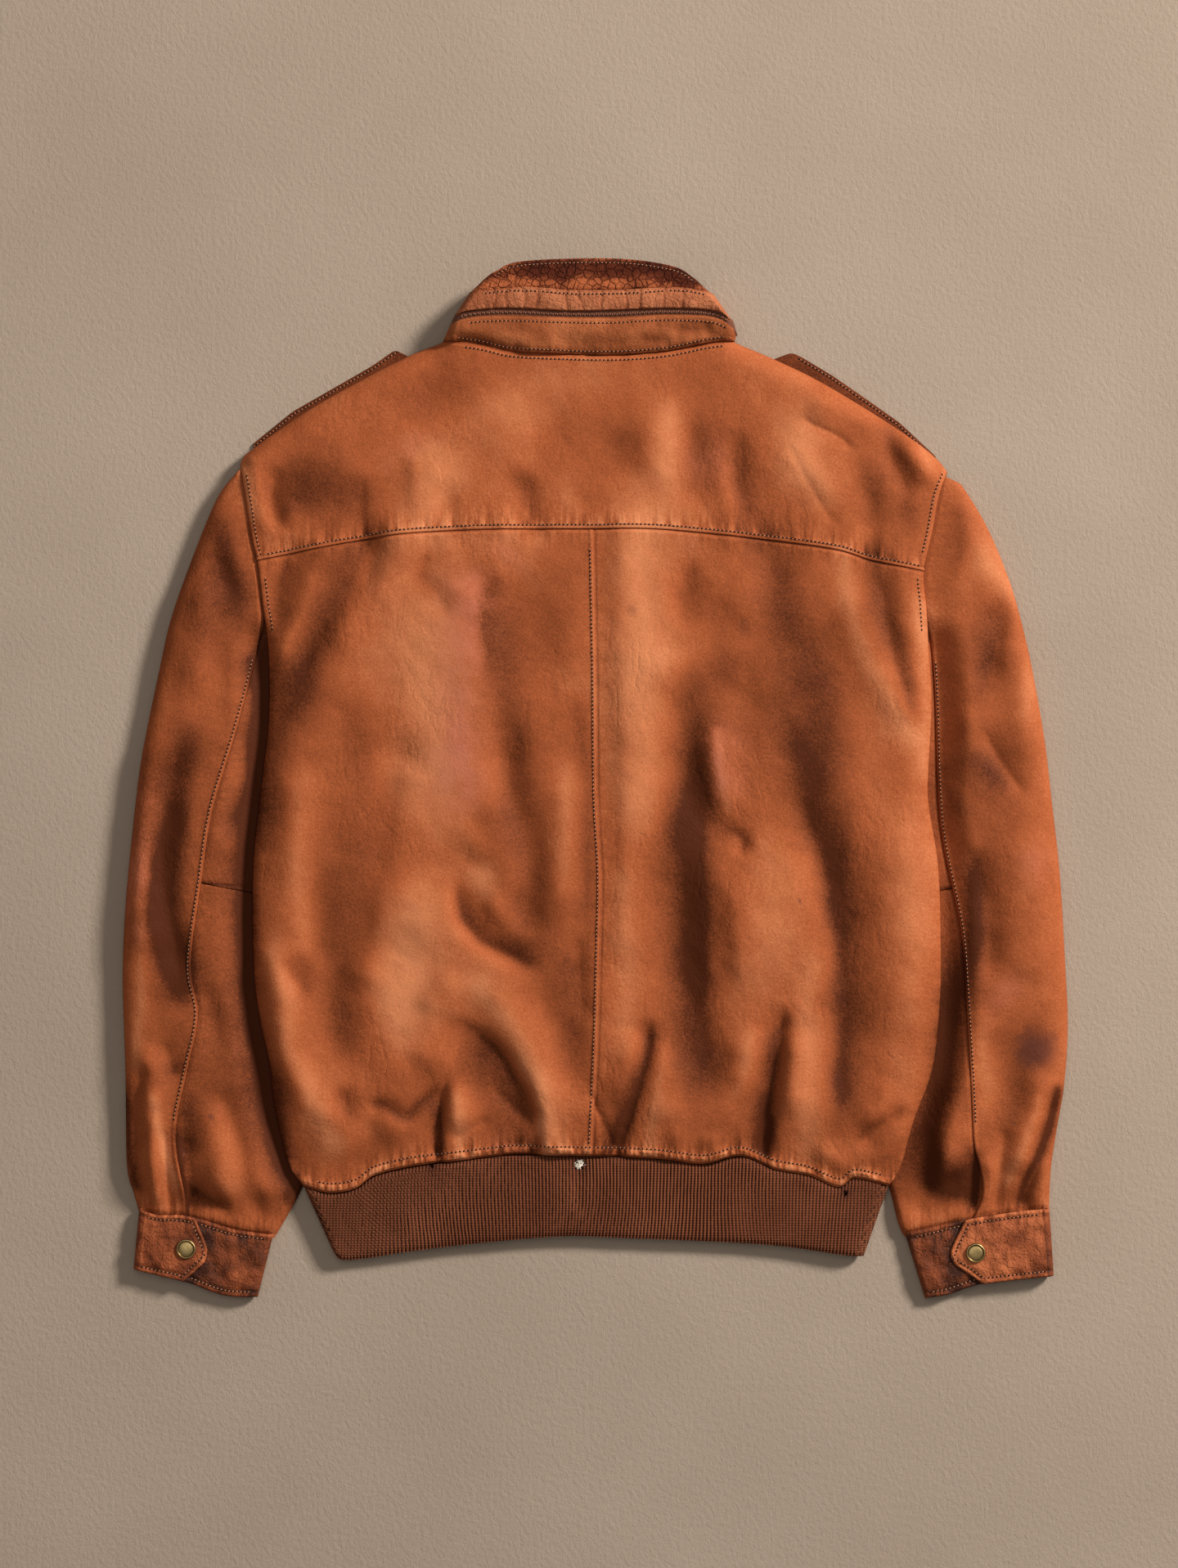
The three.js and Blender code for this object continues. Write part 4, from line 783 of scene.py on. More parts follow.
def grid_mesh(name, points, facing=1):
    """A grid of faces whose vertices are moved to these points (rows, columns, 3)."""
    tall, wide = points.shape[:2]
    bm = bmesh.new()
    bmesh.ops.create_grid(bm, x_segments=wide - 1, y_segments=tall - 1, size=0.5)
    if facing < 0:
        bmesh.ops.reverse_faces(bm, faces=bm.faces)
    mesh = mesh_from(bm, name)
    place = np.empty(len(mesh.vertices) * 3)
    mesh.vertices.foreach_get("co", place)
    place = place.reshape(-1, 3)
    column = np.rint((place[:, 0] + 0.5) * (wide - 1)).astype(int)
    row = np.rint((place[:, 1] + 0.5) * (tall - 1)).astype(int)
    mesh.vertices.foreach_set("co", (points[row, column] * MM).ravel())
    mesh.update()
    return mesh, (row, column)


def paint(mesh, name, values):
    layer = mesh.attributes.new(name, "FLOAT", "POINT")
    layer.data.foreach_set("value", np.asarray(values, dtype=np.float32).ravel())


def paint_plain(mesh, tone):
    for name in ("tone", "pink", "stain", "gather_x", "gather_y", "groove_shade"):
        paint(mesh, name, np.full(len(mesh.vertices), tone if name == "tone" else 0.0))


def add_object(name, mesh, material):
    piece = bpy.data.objects.new(name, mesh)
    bpy.context.scene.collection.objects.link(piece)
    mesh.materials.append(material)
    mesh.polygons.foreach_set("use_smooth", np.ones(len(mesh.polygons), bool))
    return piece


def make_cloth(name, points, material, thickness, facing=1, maps=None, drop=None):
    """A sheet through these points, painted with its maps and given its thickness inwards."""
    mesh, where = grid_mesh(name, points, facing)
    for map_name, values in (maps or {}).items():
        paint(mesh, map_name, np.broadcast_to(values, points.shape[:2])[where])
    if drop is not None:
        cut_away(mesh, drop)
    piece = add_object(name, mesh, material)
    wall = piece.modifiers.new("wall", "SOLIDIFY")
    wall.thickness = thickness * MM
    wall.offset = -1
    wall.use_rim = True
    return piece


def cut_away(mesh, inside):
    bm = bmesh.new()
    bm.from_mesh(mesh)
    gone = [face for face in bm.faces if inside(*(face.calc_center_median() / MM))]
    bmesh.ops.delete(bm, geom=gone, context="FACES")
    bm.to_mesh(mesh)
    bm.free()


def leather_maps(x, y, shade=0.0, gather_x=0.0, gather_y=0.0, groove_shade=0.0):
    return {"tone": shade_and_dye_map(x, y) + shade, "pink": pink_map(x, y), "stain": stain_map(x, y),
            "gather_x": gather_x, "gather_y": gather_y, "groove_shade": groove_shade}


def coons(low, high, left, right, u, v):
    """A patch between four edges, each given as points for its shares."""
    u, v = u[None, :, None], v[:, None, None]
    corners = lerp(lerp(low[0], low[-1], u), lerp(high[0], high[-1], u), v)
    across = lerp(left[:, None, :], right[:, None, :], u)
    upward = lerp(low[None], high[None], v)
    return across + upward - corners


def add_to_body(piece):
    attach(piece, "root")
    return piece


# ---- Materials ----
def tint(red, green, blue):
    """A display colour as the linear colour that shaders take."""
    shares = [c / 255 for c in (red, green, blue)]
    return (*(c / 12.92 if c <= 0.04 else ((c + 0.055) / 1.055) ** 2.4 for c in shares), 1.0)


def put(tree, kind, inputs=None, **settings):
    """A new node with these settings; each input is linked if it is a socket, or else given its value."""
    made = tree.nodes.new(kind)
    for name, value in settings.items():
        setattr(made, name, value)
    for key, value in (inputs or {}).items():
        if isinstance(value, bpy.types.NodeSocket):
            tree.links.new(value, made.inputs[key])
        else:
            made.inputs[key].default_value = value
    return made


def sums(tree, operation, a, b=0.0, c=0.0, clamp=False):
    inputs = {0: a, 1: b, 2: c} if operation == "MULTIPLY_ADD" else {0: a, 1: b}
    return put(tree, "ShaderNodeMath", inputs, operation=operation, use_clamp=clamp).outputs[0]


def blend_colours(tree, factor, a, b):
    return put(tree, "ShaderNodeMix", {0: factor, 6: a, 7: b}, data_type="RGBA").outputs[2]


def spread(tree, value, low, high, to_low=0.0, to_high=1.0):
    made = put(tree, "ShaderNodeMapRange", {0: value, 1: low, 2: high, 3: to_low, 4: to_high}, clamp=True)
    return made.outputs[0]


def stretch(tree, vector, scale):
    return put(tree, "ShaderNodeMapping", {"Vector": vector, "Scale": scale}).outputs[0]


def noise(tree, vector, scale, detail=3.0, roughness=0.55):
    inputs = {"Vector": vector, "Scale": scale, "Detail": detail, "Roughness": roughness}
    return put(tree, "ShaderNodeTexNoise", inputs).outputs["Fac"]


def bend(tree, vector, amount, waves):
    """The same place, pushed about by noise so that a pattern on it wanders."""
    colour = put(tree, "ShaderNodeTexNoise", {"Vector": vector, **waves}).outputs["Color"]
    return put(tree, "ShaderNodeMixRGB", {0: amount, 1: vector, 2: colour}).outputs[0]


def dents(tree, surface, height, strength, distance, normal=None):
    """Bump that follows this height, onto a surface's normal or on top of another bump."""
    inputs = {"Height": height, "Strength": strength, "Distance": distance}
    if normal is not None:
        inputs["Normal"] = normal
    made = put(tree, "ShaderNodeBump", inputs).outputs[0]
    if surface is not None:
        tree.links.new(made, surface.inputs["Normal"])
    return made


def new_group(name, inputs, outputs):
    tree = bpy.data.node_groups.new(name, "ShaderNodeTree")
    kinds = {"value": "NodeSocketFloat", "colour": "NodeSocketColor", "vector": "NodeSocketVector"}
    for way, sockets in (("INPUT", inputs), ("OUTPUT", outputs)):
        for socket_name, kind in sockets.items():
            tree.interface.new_socket(name=socket_name, in_out=way, socket_type=kinds[kind])
    given = tree.nodes.new("NodeGroupInput").outputs
    result = tree.nodes.new("NodeGroupOutput").inputs
    return tree, given, result


def grain_group():
    """Nap, pores and cracks of the leather's surface."""
    inputs = {"Position": "vector", "Pores": "value", "Cracks": "value"}
    tree, given, result = new_group("Leather grain", inputs, {"Height": "value", "Speckle": "value"})
    at = given["Position"]
    nap = noise(tree, at, 1500.0, 2.0, 0.7)
    pores = put(tree, "ShaderNodeTexVoronoi", {"Vector": at, "Scale": 620.0}).outputs["Distance"]
    warped = bend(tree, at, 0.004, {"Scale": 90.0})
    plates = put(tree, "ShaderNodeTexVoronoi", {"Vector": warped, "Scale": 170.0},
                 feature="DISTANCE_TO_EDGE").outputs["Distance"]
    cracks = spread(tree, plates, 0.0, 0.12, -1.0, 0.0)
    slow = noise(tree, at, 260.0, 3.0, 0.6)
    fleck = noise(tree, at, 520.0, 3.0, 0.75)
    height = sums(tree, "MULTIPLY_ADD", nap, 0.5, sums(tree, "MULTIPLY", slow, 1.1))
    height = sums(tree, "MULTIPLY_ADD", fleck, 1.0, height)
    height = sums(tree, "MULTIPLY_ADD", sums(tree, "MULTIPLY", pores, given["Pores"]), 0.7, height)
    height = sums(tree, "MULTIPLY_ADD", sums(tree, "MULTIPLY", cracks, given["Cracks"]), 1.6, height)
    tree.links.new(height, result["Height"])
    speckle = sums(tree, "MULTIPLY_ADD", cracks, given["Cracks"], spread(tree, nap, 0.3, 0.72, -0.5, 0.5))
    speckle = sums(tree, "ADD", speckle, spread(tree, fleck, 0.3, 0.7, -0.4, 0.4))
    tree.links.new(speckle, result["Speckle"])
    return tree


def dye_and_shade_group():
    """Uneven dye with painted light: dark with dirt and with painted shade in the folds, light where it is
    rubbed and under painted highlights, rosy where bare.
    """
    inputs = {"Position": "vector", **dict.fromkeys(("Tone", "Bloom", "Stain", "Speckle"), "value"),
              **dict.fromkeys(("Deep", "Middle", "Worn and lit", "Rosy"), "colour")}
    tree, given, result = new_group("Dye and painted shade", inputs, {"Colour": "colour", "Roughness": "value"})
    at = given["Position"]
    cloud = noise(tree, at, 16.0, 4.0, 0.6)
    mottle = noise(tree, at, 75.0, 4.0, 0.65)
    tone = sums(tree, "MULTIPLY_ADD", spread(tree, cloud, 0.3, 0.7, -0.5, 0.5), 0.22, given["Tone"])
    tone = sums(tree, "MULTIPLY_ADD", spread(tree, mottle, 0.3, 0.7, -0.5, 0.5), 0.16, tone)
    tone = sums(tree, "MULTIPLY_ADD", given["Speckle"], 0.48, tone)
    dark = blend_colours(tree, spread(tree, tone, -1.0, 0.0), given["Deep"], given["Middle"])
    colour = blend_colours(tree, spread(tree, tone, 0.0, 0.9), dark, given["Worn and lit"])
    bare = sums(tree, "MULTIPLY", spread(tree, mottle, 0.3, 0.65, 0.35, 0.85), spread(tree, tone, -0.7, 0.1))
    bloom = sums(tree, "MULTIPLY", given["Bloom"], bare, clamp=True)
    colour = blend_colours(tree, bloom, colour, given["Rosy"])
    colour = blend_colours(tree, sums(tree, "MULTIPLY", given["Stain"], 0.75), colour, tint(84, 46, 38))
    tree.links.new(colour, result["Colour"])
    tree.links.new(spread(tree, tone, -1.0, 1.0, 0.62, 0.8), result["Roughness"])
    return tree


def ridge(tree, value):
    """Thin lines where a noise passes its middle, 1 on them and 0 away."""
    away = sums(tree, "ABSOLUTE", sums(tree, "SUBTRACT", value, 0.5))
    return spread(tree, away, 0.0, 0.075, 1.0, 0.0)


def gather_group():
    """Small tight gathers beside a seam, across X where it runs along X, and loose creases all over, with
    painted shade in the gathers' hollows and painted highlight on their crests.
    """
    inputs = {"Position": "vector", "Along X": "value", "Along Y": "value"}
    tree, given, result = new_group("Seam gathers", inputs, {"Height": "value", "Gather shade": "value"})
    at = given["Position"]
    bent = bend(tree, at, 0.012, {"Scale": 30.0, "Detail": 3.0})
    long_creases = ridge(tree, noise(tree, stretch(tree, bent, (52.0, 24.0, 30.0)), 1.0, 2.0))
    short_creases = ridge(tree, noise(tree, stretch(tree, bent, (120.0, 80.0, 80.0)), 1.0, 3.0))
    upright = noise(tree, stretch(tree, at, (250.0, 45.0, 60.0)), 1.0, 1.0)
    level = noise(tree, stretch(tree, at, (45.0, 250.0, 60.0)), 1.0, 1.0)
    height = sums(tree, "MULTIPLY", upright, given["Along X"])
    height = sums(tree, "MULTIPLY_ADD", level, given["Along Y"], height)
    # Painted shade and highlight: darker in the gathers' hollows, lighter on their crests.
    along = sums(tree, "MULTIPLY", spread(tree, upright, 0.36, 0.64, -0.5, 0.5), given["Along X"])
    along = sums(tree, "MULTIPLY_ADD", spread(tree, level, 0.36, 0.64, -0.5, 0.5), given["Along Y"], along)
    tree.links.new(along, result["Gather shade"])
    here = spread(tree, noise(tree, at, 14.0, 2.0), 0.42, 0.66)
    height = sums(tree, "MULTIPLY_ADD", sums(tree, "MULTIPLY", long_creases, here), -0.16, height)
    height = sums(tree, "MULTIPLY_ADD", sums(tree, "MULTIPLY", short_creases, here), -0.09, height)
    tree.links.new(height, result["Height"])
    return tree


GRAIN = grain_group()
DYE_AND_SHADE = dye_and_shade_group()
GATHERS = gather_group()


def new_material(name):
    material = bpy.data.materials.new(name)
    material.use_nodes = True
    tree = material.node_tree
    at = put(tree, "ShaderNodeTexCoord").outputs["Object"]
    return material, tree, tree.nodes["Principled BSDF"], at


def use_group(tree, node_tree, inputs):
    return put(tree, "ShaderNodeGroup", inputs, node_tree=node_tree).outputs


def mark(tree, name):
    return put(tree, "ShaderNodeAttribute", attribute_name=name).outputs["Fac"]


def leather_material(name, deep, middle, worn_and_lit, rosy, pores=0.4, cracks=0.0, bump=0.35, shine=0.07):
    material, tree, surface, at = new_material(name)
    grain = use_group(tree, GRAIN, {"Position": at, "Pores": pores, "Cracks": cracks})
    gathers = use_group(tree, GATHERS, {"Position": at, "Along X": mark(tree, "gather_x"),
                                        "Along Y": mark(tree, "gather_y")})
    # Painted shade in seam grooves and stitch lines darkens the tone.
    tone = sums(tree, "MULTIPLY_ADD", mark(tree, "groove_shade"), -1.0, mark(tree, "tone"))
    # Painted shade in the hollows of the gathers.
    tone = sums(tree, "MULTIPLY_ADD", gathers["Gather shade"], 0.75, tone)
    dye = use_group(tree, DYE_AND_SHADE, {
        "Position": at, "Tone": tone, "Bloom": mark(tree, "pink"), "Stain": mark(tree, "stain"),
        "Speckle": grain["Speckle"], "Deep": deep, "Middle": middle, "Worn and lit": worn_and_lit, "Rosy": rosy})
    folds = dents(tree, None, gathers["Height"], 0.9, 0.0016)
    dents(tree, surface, grain["Height"], bump, 0.0006, folds)
    tree.links.new(dye["Colour"], surface.inputs["Base Color"])
    tree.links.new(dye["Roughness"], surface.inputs["Roughness"])
    surface.inputs["Specular IOR Level"].default_value = shine
    return material


def plain_material(name, colour, roughness, speckle=0.25, scale=900.0):
    """Thread, tape and zip teeth: one colour broken up by fine noise."""
    material, tree, surface, at = new_material(name)
    fleck = noise(tree, at, scale, 3.0, 0.6)
    darker = tuple(c * (1 - speckle) for c in colour[:3]) + (1.0,)
    lighter = tuple(min(1.0, c * (1 + speckle)) for c in colour[:3]) + (1.0,)
    mixed = blend_colours(tree, spread(tree, fleck, 0.3, 0.7), darker, lighter)
    tree.links.new(mixed, surface.inputs["Base Color"])
    dullness = spread(tree, fleck, 0.3, 0.7, roughness - 0.08, roughness + 0.08)
    tree.links.new(dullness, surface.inputs["Roughness"])
    dents(tree, surface, fleck, 0.3, 0.0003)
    return material


def knit_material():
    """Ribbed knit: the wales are modelled, the loops along them are bump, it has faded unevenly, and the
    valleys between the wales are painted with their shade.
    """
    material, tree, surface, at = new_material("rib_knit_brown")
    loops = put(tree, "ShaderNodeTexWave", {"Vector": at, "Scale": 165.0, "Distortion": 1.2, "Detail": 1.0,
                                            "Detail Scale": 2.0}, bands_direction="Y").outputs["Fac"]
    fuzz = noise(tree, at, 1400.0, 3.0, 0.7)
    fade = noise(tree, at, 22.0, 4.0, 0.6)
    valley = mark(tree, "wale")
    colour = blend_colours(tree, spread(tree, fade, 0.32, 0.68), tint(116, 62, 39), tint(142, 81, 54))
    # Painted shade in the valleys between the wales.
    colour = blend_colours(tree, spread(tree, valley, 0.35, 0.98, 1.0, 0.0), colour, tint(44, 20, 10))
    colour = blend_colours(tree, spread(tree, fuzz, 0.35, 0.7, 0.0, 0.2), colour, tint(160, 96, 62))
    # Darker round the torn holes, and painted shade where the knit runs in under the hem.
    colour = blend_colours(tree, mark(tree, "stain"), colour, tint(58, 28, 20))
    tree.links.new(colour, surface.inputs["Base Color"])
    height = sums(tree, "MULTIPLY_ADD", fuzz, 0.5, loops)
    dents(tree, surface, height, 0.6, 0.0005)
    surface.inputs["Roughness"].default_value = 0.92
    surface.inputs["Specular IOR Level"].default_value = 0.15
    return material


def brass_material():
    """Old brass: dark in its hollows, rubbed bright on the dome."""
    material, tree, surface, at = new_material("antique_brass_snap")
    grime = noise(tree, at, 420.0, 4.0, 0.65)
    edge = mark(tree, "rim")
    patina = sums(tree, "MULTIPLY_ADD", edge, 0.8, sums(tree, "MULTIPLY", grime, 0.6))
    colour = blend_colours(tree, spread(tree, patina, 0.2, 0.9), tint(196, 168, 112), tint(92, 66, 36))
    tree.links.new(colour, surface.inputs["Base Color"])
    tree.links.new(spread(tree, grime, 0.3, 0.7, 0.3, 0.5), surface.inputs["Roughness"])
    dents(tree, surface, grime, 0.25, 0.0002)
    surface.inputs["Metallic"].default_value = 1.0
    return material


# Deep is the colour of dark dye and painted shade, the worn and lit colour that of rubbed places and painted
# highlights.
TAN = leather_material("tan_leather_nubuck", tint(80, 36, 16), tint(168, 87, 48), tint(210, 130, 86),
                       tint(190, 110, 86))
CUFF_TAN = leather_material("cuff_leather", tint(58, 26, 12), tint(138, 68, 35), tint(200, 112, 68),
                            tint(176, 98, 72), pores=0.8, cracks=0.25, bump=0.8, shine=0.2)
COLLAR_LIGHT = leather_material("collar_band_leather", tint(104, 50, 26), tint(168, 96, 62),
                                tint(202, 128, 88), tint(196, 118, 90), pores=0.9, cracks=0.35, bump=0.7)
COLLAR_DARK = leather_material("collar_top_leather", tint(56, 21, 11), tint(88, 38, 21), tint(166, 88, 52),
                               tint(150, 84, 64), pores=0.8, cracks=0.9, bump=1.0, shine=0.06)
STAND_TAN = leather_material("collar_stand_leather", tint(92, 42, 20), tint(150, 80, 44), tint(196, 116, 72),
                             tint(176, 98, 72), pores=0.7, cracks=0.12, bump=0.5)
THREAD = plain_material("tan_thread", tint(204, 132, 88), 0.8)
# Near-black marks that stand for the painted shade in the needle holes.
HOLE_SHADE = plain_material("needle_hole_shade", tint(28, 12, 6), 0.95)
TAPE = plain_material("zip_tape_brown", tint(100, 54, 32), 0.9, scale=1600.0)
TEETH = plain_material("moulded_zip_teeth", tint(124, 72, 44), 0.5)
FLUFF = plain_material("white_lining_fluff", tint(232, 220, 202), 0.95)
KNIT_BROWN = knit_material()
BRASS = brass_material()


# ---- Yoke ----
NECK_SHARE = 0.55


def yoke_seam_point(side, share):
    end = YOKE_SEAM[0] if side["sign"] < 0 else YOKE_SEAM[-1]
    x = lerp(end[0], CENTRE_SEAM[0][0], share)
    return np.stack([x, y_at(YOKE_SEAM, x)], axis=-1)


def yoke_upper_edge(side, share):
    shoulder = travel(side["shoulder"], np.clip(share / NECK_SHARE, 0, 1))
    x = lerp(side["shoulder"][-1][0], CENTRE_SEAM[0][0], (share - NECK_SHARE) / (1 - NECK_SHARE))
    neck = np.stack([x, y_at(COLLAR[0]["line"], x) + TUCK], axis=-1)
    return np.where((share < NECK_SHARE)[:, None], shoulder, neck)


def yoke_half(side, u, v):
    low, high = yoke_seam_point(side, u), yoke_upper_edge(side, u)
    y = lerp(low[0, 1], high[0, 1], v)
    armhole = np.stack([x_at(side["body_edge"], y), y], axis=-1)
    middle = lerp(low[-1], high[-1], v[:, None])
    return coons(low, high, armhole, middle, u, v)


def make_yoke():
    u = stations(265, grow(2.0), end=0)
    v = stations(150, grow(1.7))
    left, right = yoke_half(LEFT, u, v), yoke_half(RIGHT, u, v)
    flat = np.concatenate([left, right[:, ::-1][:, 1:]], axis=1)
    x, y = flat[..., 0], flat[..., 1] + lerp(SEAM_GAP, 0, v)[:, None]
    above = y - y_at(YOKE_SEAM, x)
    at_edge = body_inside(x, y)
    # Painted shade in the grooves of the yoke and armhole seams.
    groove_shade = 0.3 * ease(0.8, 0, above) + 0.3 * ease(0.8, 0, at_edge) * ease(150, 165, y)
    # Painted highlight on the raised lips of the yoke and armhole seams.
    lip = between(0.4, 1.0, 2.8, 3.4, above)
    armhole_lip = between(0.4, 1.2, 3.4, 4.4, at_edge) * ease(150, 165, y)
    shade = 0.25 * lip + 0.2 * armhole_lip
    gather = 1.3 * ease(2.5, 4.5, above) * np.exp(-np.abs(above - 4) / 7)
    maps = leather_maps(x, y, shade=shade, gather_x=gather, groove_shade=groove_shade)
    yoke = make_cloth("yoke", np.stack([x, y, yoke_height(x, y)], axis=-1), TAN, LEATHER, maps=maps)
    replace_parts(add_to_body(yoke), "yoke_back")
    return yoke


# ---- Back panels ----
def hem_point(side, share):
    corner = HEM[0] if side["sign"] < 0 else HEM[-1]
    x = lerp(corner[0], CENTRE_SEAM[-1][0], share)
    return np.stack([x, y_at(HEM, x)], axis=-1)


def make_back_panel(word, side):
    u = stations(258, grow(2.15))
    v = stations(487, grow(2.15))
    low, high = hem_point(side, u), yoke_seam_point(side, u) + np.array([0, TUCK])
    y_side = lerp(low[0, 1], high[0, 1], v)
    side_edge = np.stack([x_at(side["body_edge"], y_side), y_side], axis=-1)
    y_centre = lerp(CENTRE_SEAM[-1][1], CENTRE_SEAM[0][1], v)
    join = -SEAM_GAP / 2 if side["sign"] < 0 else -TUCK
    centre = np.stack([x_at(CENTRE_SEAM, y_centre) + join, y_centre], axis=-1)
    flat = coons(low, high, side_edge, centre, u, v)
    x, y = flat[..., 0], flat[..., 1]
    below, above = y_at(YOKE_SEAM, x) - y, y - y_at(HEM, x)
    from_centre = np.abs(x - x_at(CENTRE_SEAM, y))
    armhole = body_inside(x, y)
    # Painted shade in the grooves of the yoke seam, centre seam, hem and armhole.
    groove_shade = 0.35 * ease(1.0, 0, below) + 0.3 * ease(0.8, 0, from_centre) + 0.25 * ease(1.2, 0, above)
    groove_shade = groove_shade + 0.25 * ease(0.9, 0, armhole)
    # Painted highlight on the raised hem band, and on the lip of the centre seam on the left panel.
    shade = 0.3 * between(0.5, 1.5, 5.6, 6.6, above)
    if side["sign"] < 0:
        shade = shade + 0.2 * between(0.4, 1, 2, 3, from_centre)
    gather_x = 2.0 * ease(0.5, 2, above) * np.exp(-np.abs(above - 4) / 6)
    gather_x = gather_x + 0.6 * ease(1, 3, below) * np.exp(-below / 7)
    gather_y = 0.35 * ease(1, 3, from_centre) * np.exp(-from_centre / 5) + 0.3 * np.exp(-armhole / 6)
    maps = leather_maps(x, y, shade=shade, gather_x=gather_x, gather_y=gather_y, groove_shade=groove_shade)
    points = np.stack([x, y, back_height(x, y)], axis=-1)
    panel = make_cloth(f"back_{word}", points, TAN, LEATHER, facing=-side["sign"], maps=maps)
    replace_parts(add_to_body(panel), f"back_{word}_panel")
    return panel


# ---- Fronts and the fly between them, face down on the floor ----
def front_underside(side, x, y):
    beyond = -inside_of(side, "inner_edge", x, y)
    crossing_sleeve = FRONT_OVER_SLEEVE * ease(46, 22, -beyond) * ease(145, 112, y)
    crossing_strap = FRONT_OVER_STRAP * ease(74, 56, nearest(side["shoulder"], x, y)[0])
    return np.maximum(crossing_sleeve, crossing_strap)


def front_collar_y(level, x):
    left, right = level["line"][0], level["line"][-1]
    share = np.where(x < 0, x / left[0], x / right[0])
    top = np.where(x < 0, left[1], right[1])
    return level["centre_front"] + (top - level["centre_front"]) * share * share


def make_front(word, side):
    u = stations(265, grow(5.0), fine=1.2, start=3, end=3)
    v = stations(560, grow(6.0), fine=1.2, start=3, end=3)
    closing = side["sign"] * SEAM_GAP / 2
    shoulder = travel(side["shoulder"], np.clip(u / 0.5, 0, 1))
    neck_x = lerp(side["shoulder"][-1][0], closing, np.clip((u - 0.5) / 0.5, 0, 1))
    neck = np.stack([neck_x, front_collar_y(COLLAR[0], neck_x) - SEAM_GAP], axis=-1)
    high = np.where((u < 0.5)[:, None], shoulder, neck)
    low = np.stack([lerp(side["sign"] * 222.0, closing, u), np.full(len(u), FRONT_HEM)], axis=-1)
    y_side = lerp(FRONT_HEM, side["shoulder"][0][1], v)
    outer = np.stack([x_at(side["body_edge"], y_side), y_side], axis=-1)
    outer[0] = low[0]
    centre = np.stack([np.full(len(v), closing), lerp(FRONT_HEM, high[-1, 1], v)], axis=-1)
    flat = coons(low, high, outer, centre, u, v)
    x, y = flat[..., 0], flat[..., 1]
    points = np.stack([x, y, front_underside(side, x, y)], axis=-1)
    maps = leather_maps(x, y)
    front = make_cloth(f"front_{word}", points, TAN, LEATHER, facing=side["sign"], maps=maps)
    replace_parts(add_to_body(front), f"front_{word}_panel")
    return front


def make_fly():
    low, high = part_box("front_fly")
    bm = bmesh.new()
    bmesh.ops.create_cube(bm, size=1.0)
    size = Vector(high) - Vector(low)
    bmesh.ops.scale(bm, vec=size, verts=bm.verts)
    bmesh.ops.translate(bm, vec=(Vector(low) + Vector(high)) / 2, verts=bm.verts)
    bevel(bm, bm.edges[:], 0.5, 3)
    mesh = mesh_from(bm, "fly_strip")
    paint_plain(mesh, 0.0)
    fly = add_object("fly_strip", mesh, CUFF_TAN)
    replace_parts(add_to_body(fly), "front_fly")
    return fly


# ---- Sleeves ----
def line_at(outline, from_y, to_y, share):
    y = lerp(from_y, to_y, share)
    return np.stack([x_at(outline, y), y], axis=-1)


def sleeve_rows(side, start, edge, end, shares, reach, lowest, gather):
    """Rows from a seam on top out to a folded edge, then back along the floor."""
    away = np.sign(edge[0, 0] - start[0, 0]) if abs(edge[0, 0] - start[0, 0]) > 1 else -side["sign"]
    top = lerp(start[:, None], edge[:, None], shares[None, :, None])
    rim = np.maximum(lowest, EDGE_HEIGHT * sleeve_height(side, edge[:, 0], edge[:, 1]))[:, None]
    x, y = top[..., 0], top[..., 1]
    height = sleeve_height(side, x, y) + gather(x, y)
    z = rim + (height - rim) * roll(away * (edge[:, :1] - x), reach[:, None])
    inward = np.minimum(UNDER_FOLD, 0.45 * np.abs(edge[:, 0] - end[:, 0]))[:, None]
    angle = np.radians(np.linspace(0, 90, 9)[1:])[None]
    under_x = edge[:, :1] - away * inward * (1 - np.cos(angle))
    under_y = np.broadcast_to(edge[:, 1:], under_x.shape)
    under_z = rim * (1 - np.sin(angle))
    along = np.linspace(0, 1, 7)[1:][None]
    floor_x = lerp(under_x[:, -1:], end[:, :1], along)
    floor_y = lerp(under_y[:, -1:], end[:, 1:], along)
    rows = [np.stack(part, axis=-1) for part in ((x, y, z), (under_x, under_y, under_z),
                                                 (floor_x, floor_y, 0 * floor_x))]
    return np.concatenate(rows, axis=1)


def seam_points(side, outline, v):
    cap = side["body_edge"][0][1]
    return line_at(side[outline], cap - CAP_DROP, side["back_seam"][-1][1] + 1, v)


def sleeve_maps(side, points, piece_is_outer):
    x, y = points[..., 0], points[..., 1]
    seam = np.abs(x - x_at(side["back_seam"], y))
    body = -inside_of(side, "body_edge", x, y)
    on_top = ease(0.5, 4, points[..., 2])
    # Painted shade in the seam's groove.
    groove_shade = on_top * 0.28 * ease(0.9, 0, seam)
    # Painted shade where the sleeve runs in under the body's edge, deepest next to it.
    shade = -side["body_shade"] * ease(17, 2, body) * over_sleeve(y)
    # Painted highlight on the raised lip beside the back seam.
    if piece_is_outer:
        shade = shade + 0.18 * on_top * between(0.4, 1, 2, 3, seam)
    gather_y = 0.4 * ease(1, 3, seam) * np.exp(-seam / 6)
    cuff = y - y_at(side["cuff_top"], x)
    gather_x = 0.8 * np.exp(-np.maximum(cuff, 0) / 12)
    return leather_maps(x, y, shade=shade, gather_x=gather_x, gather_y=gather_y, groove_shade=groove_shade)


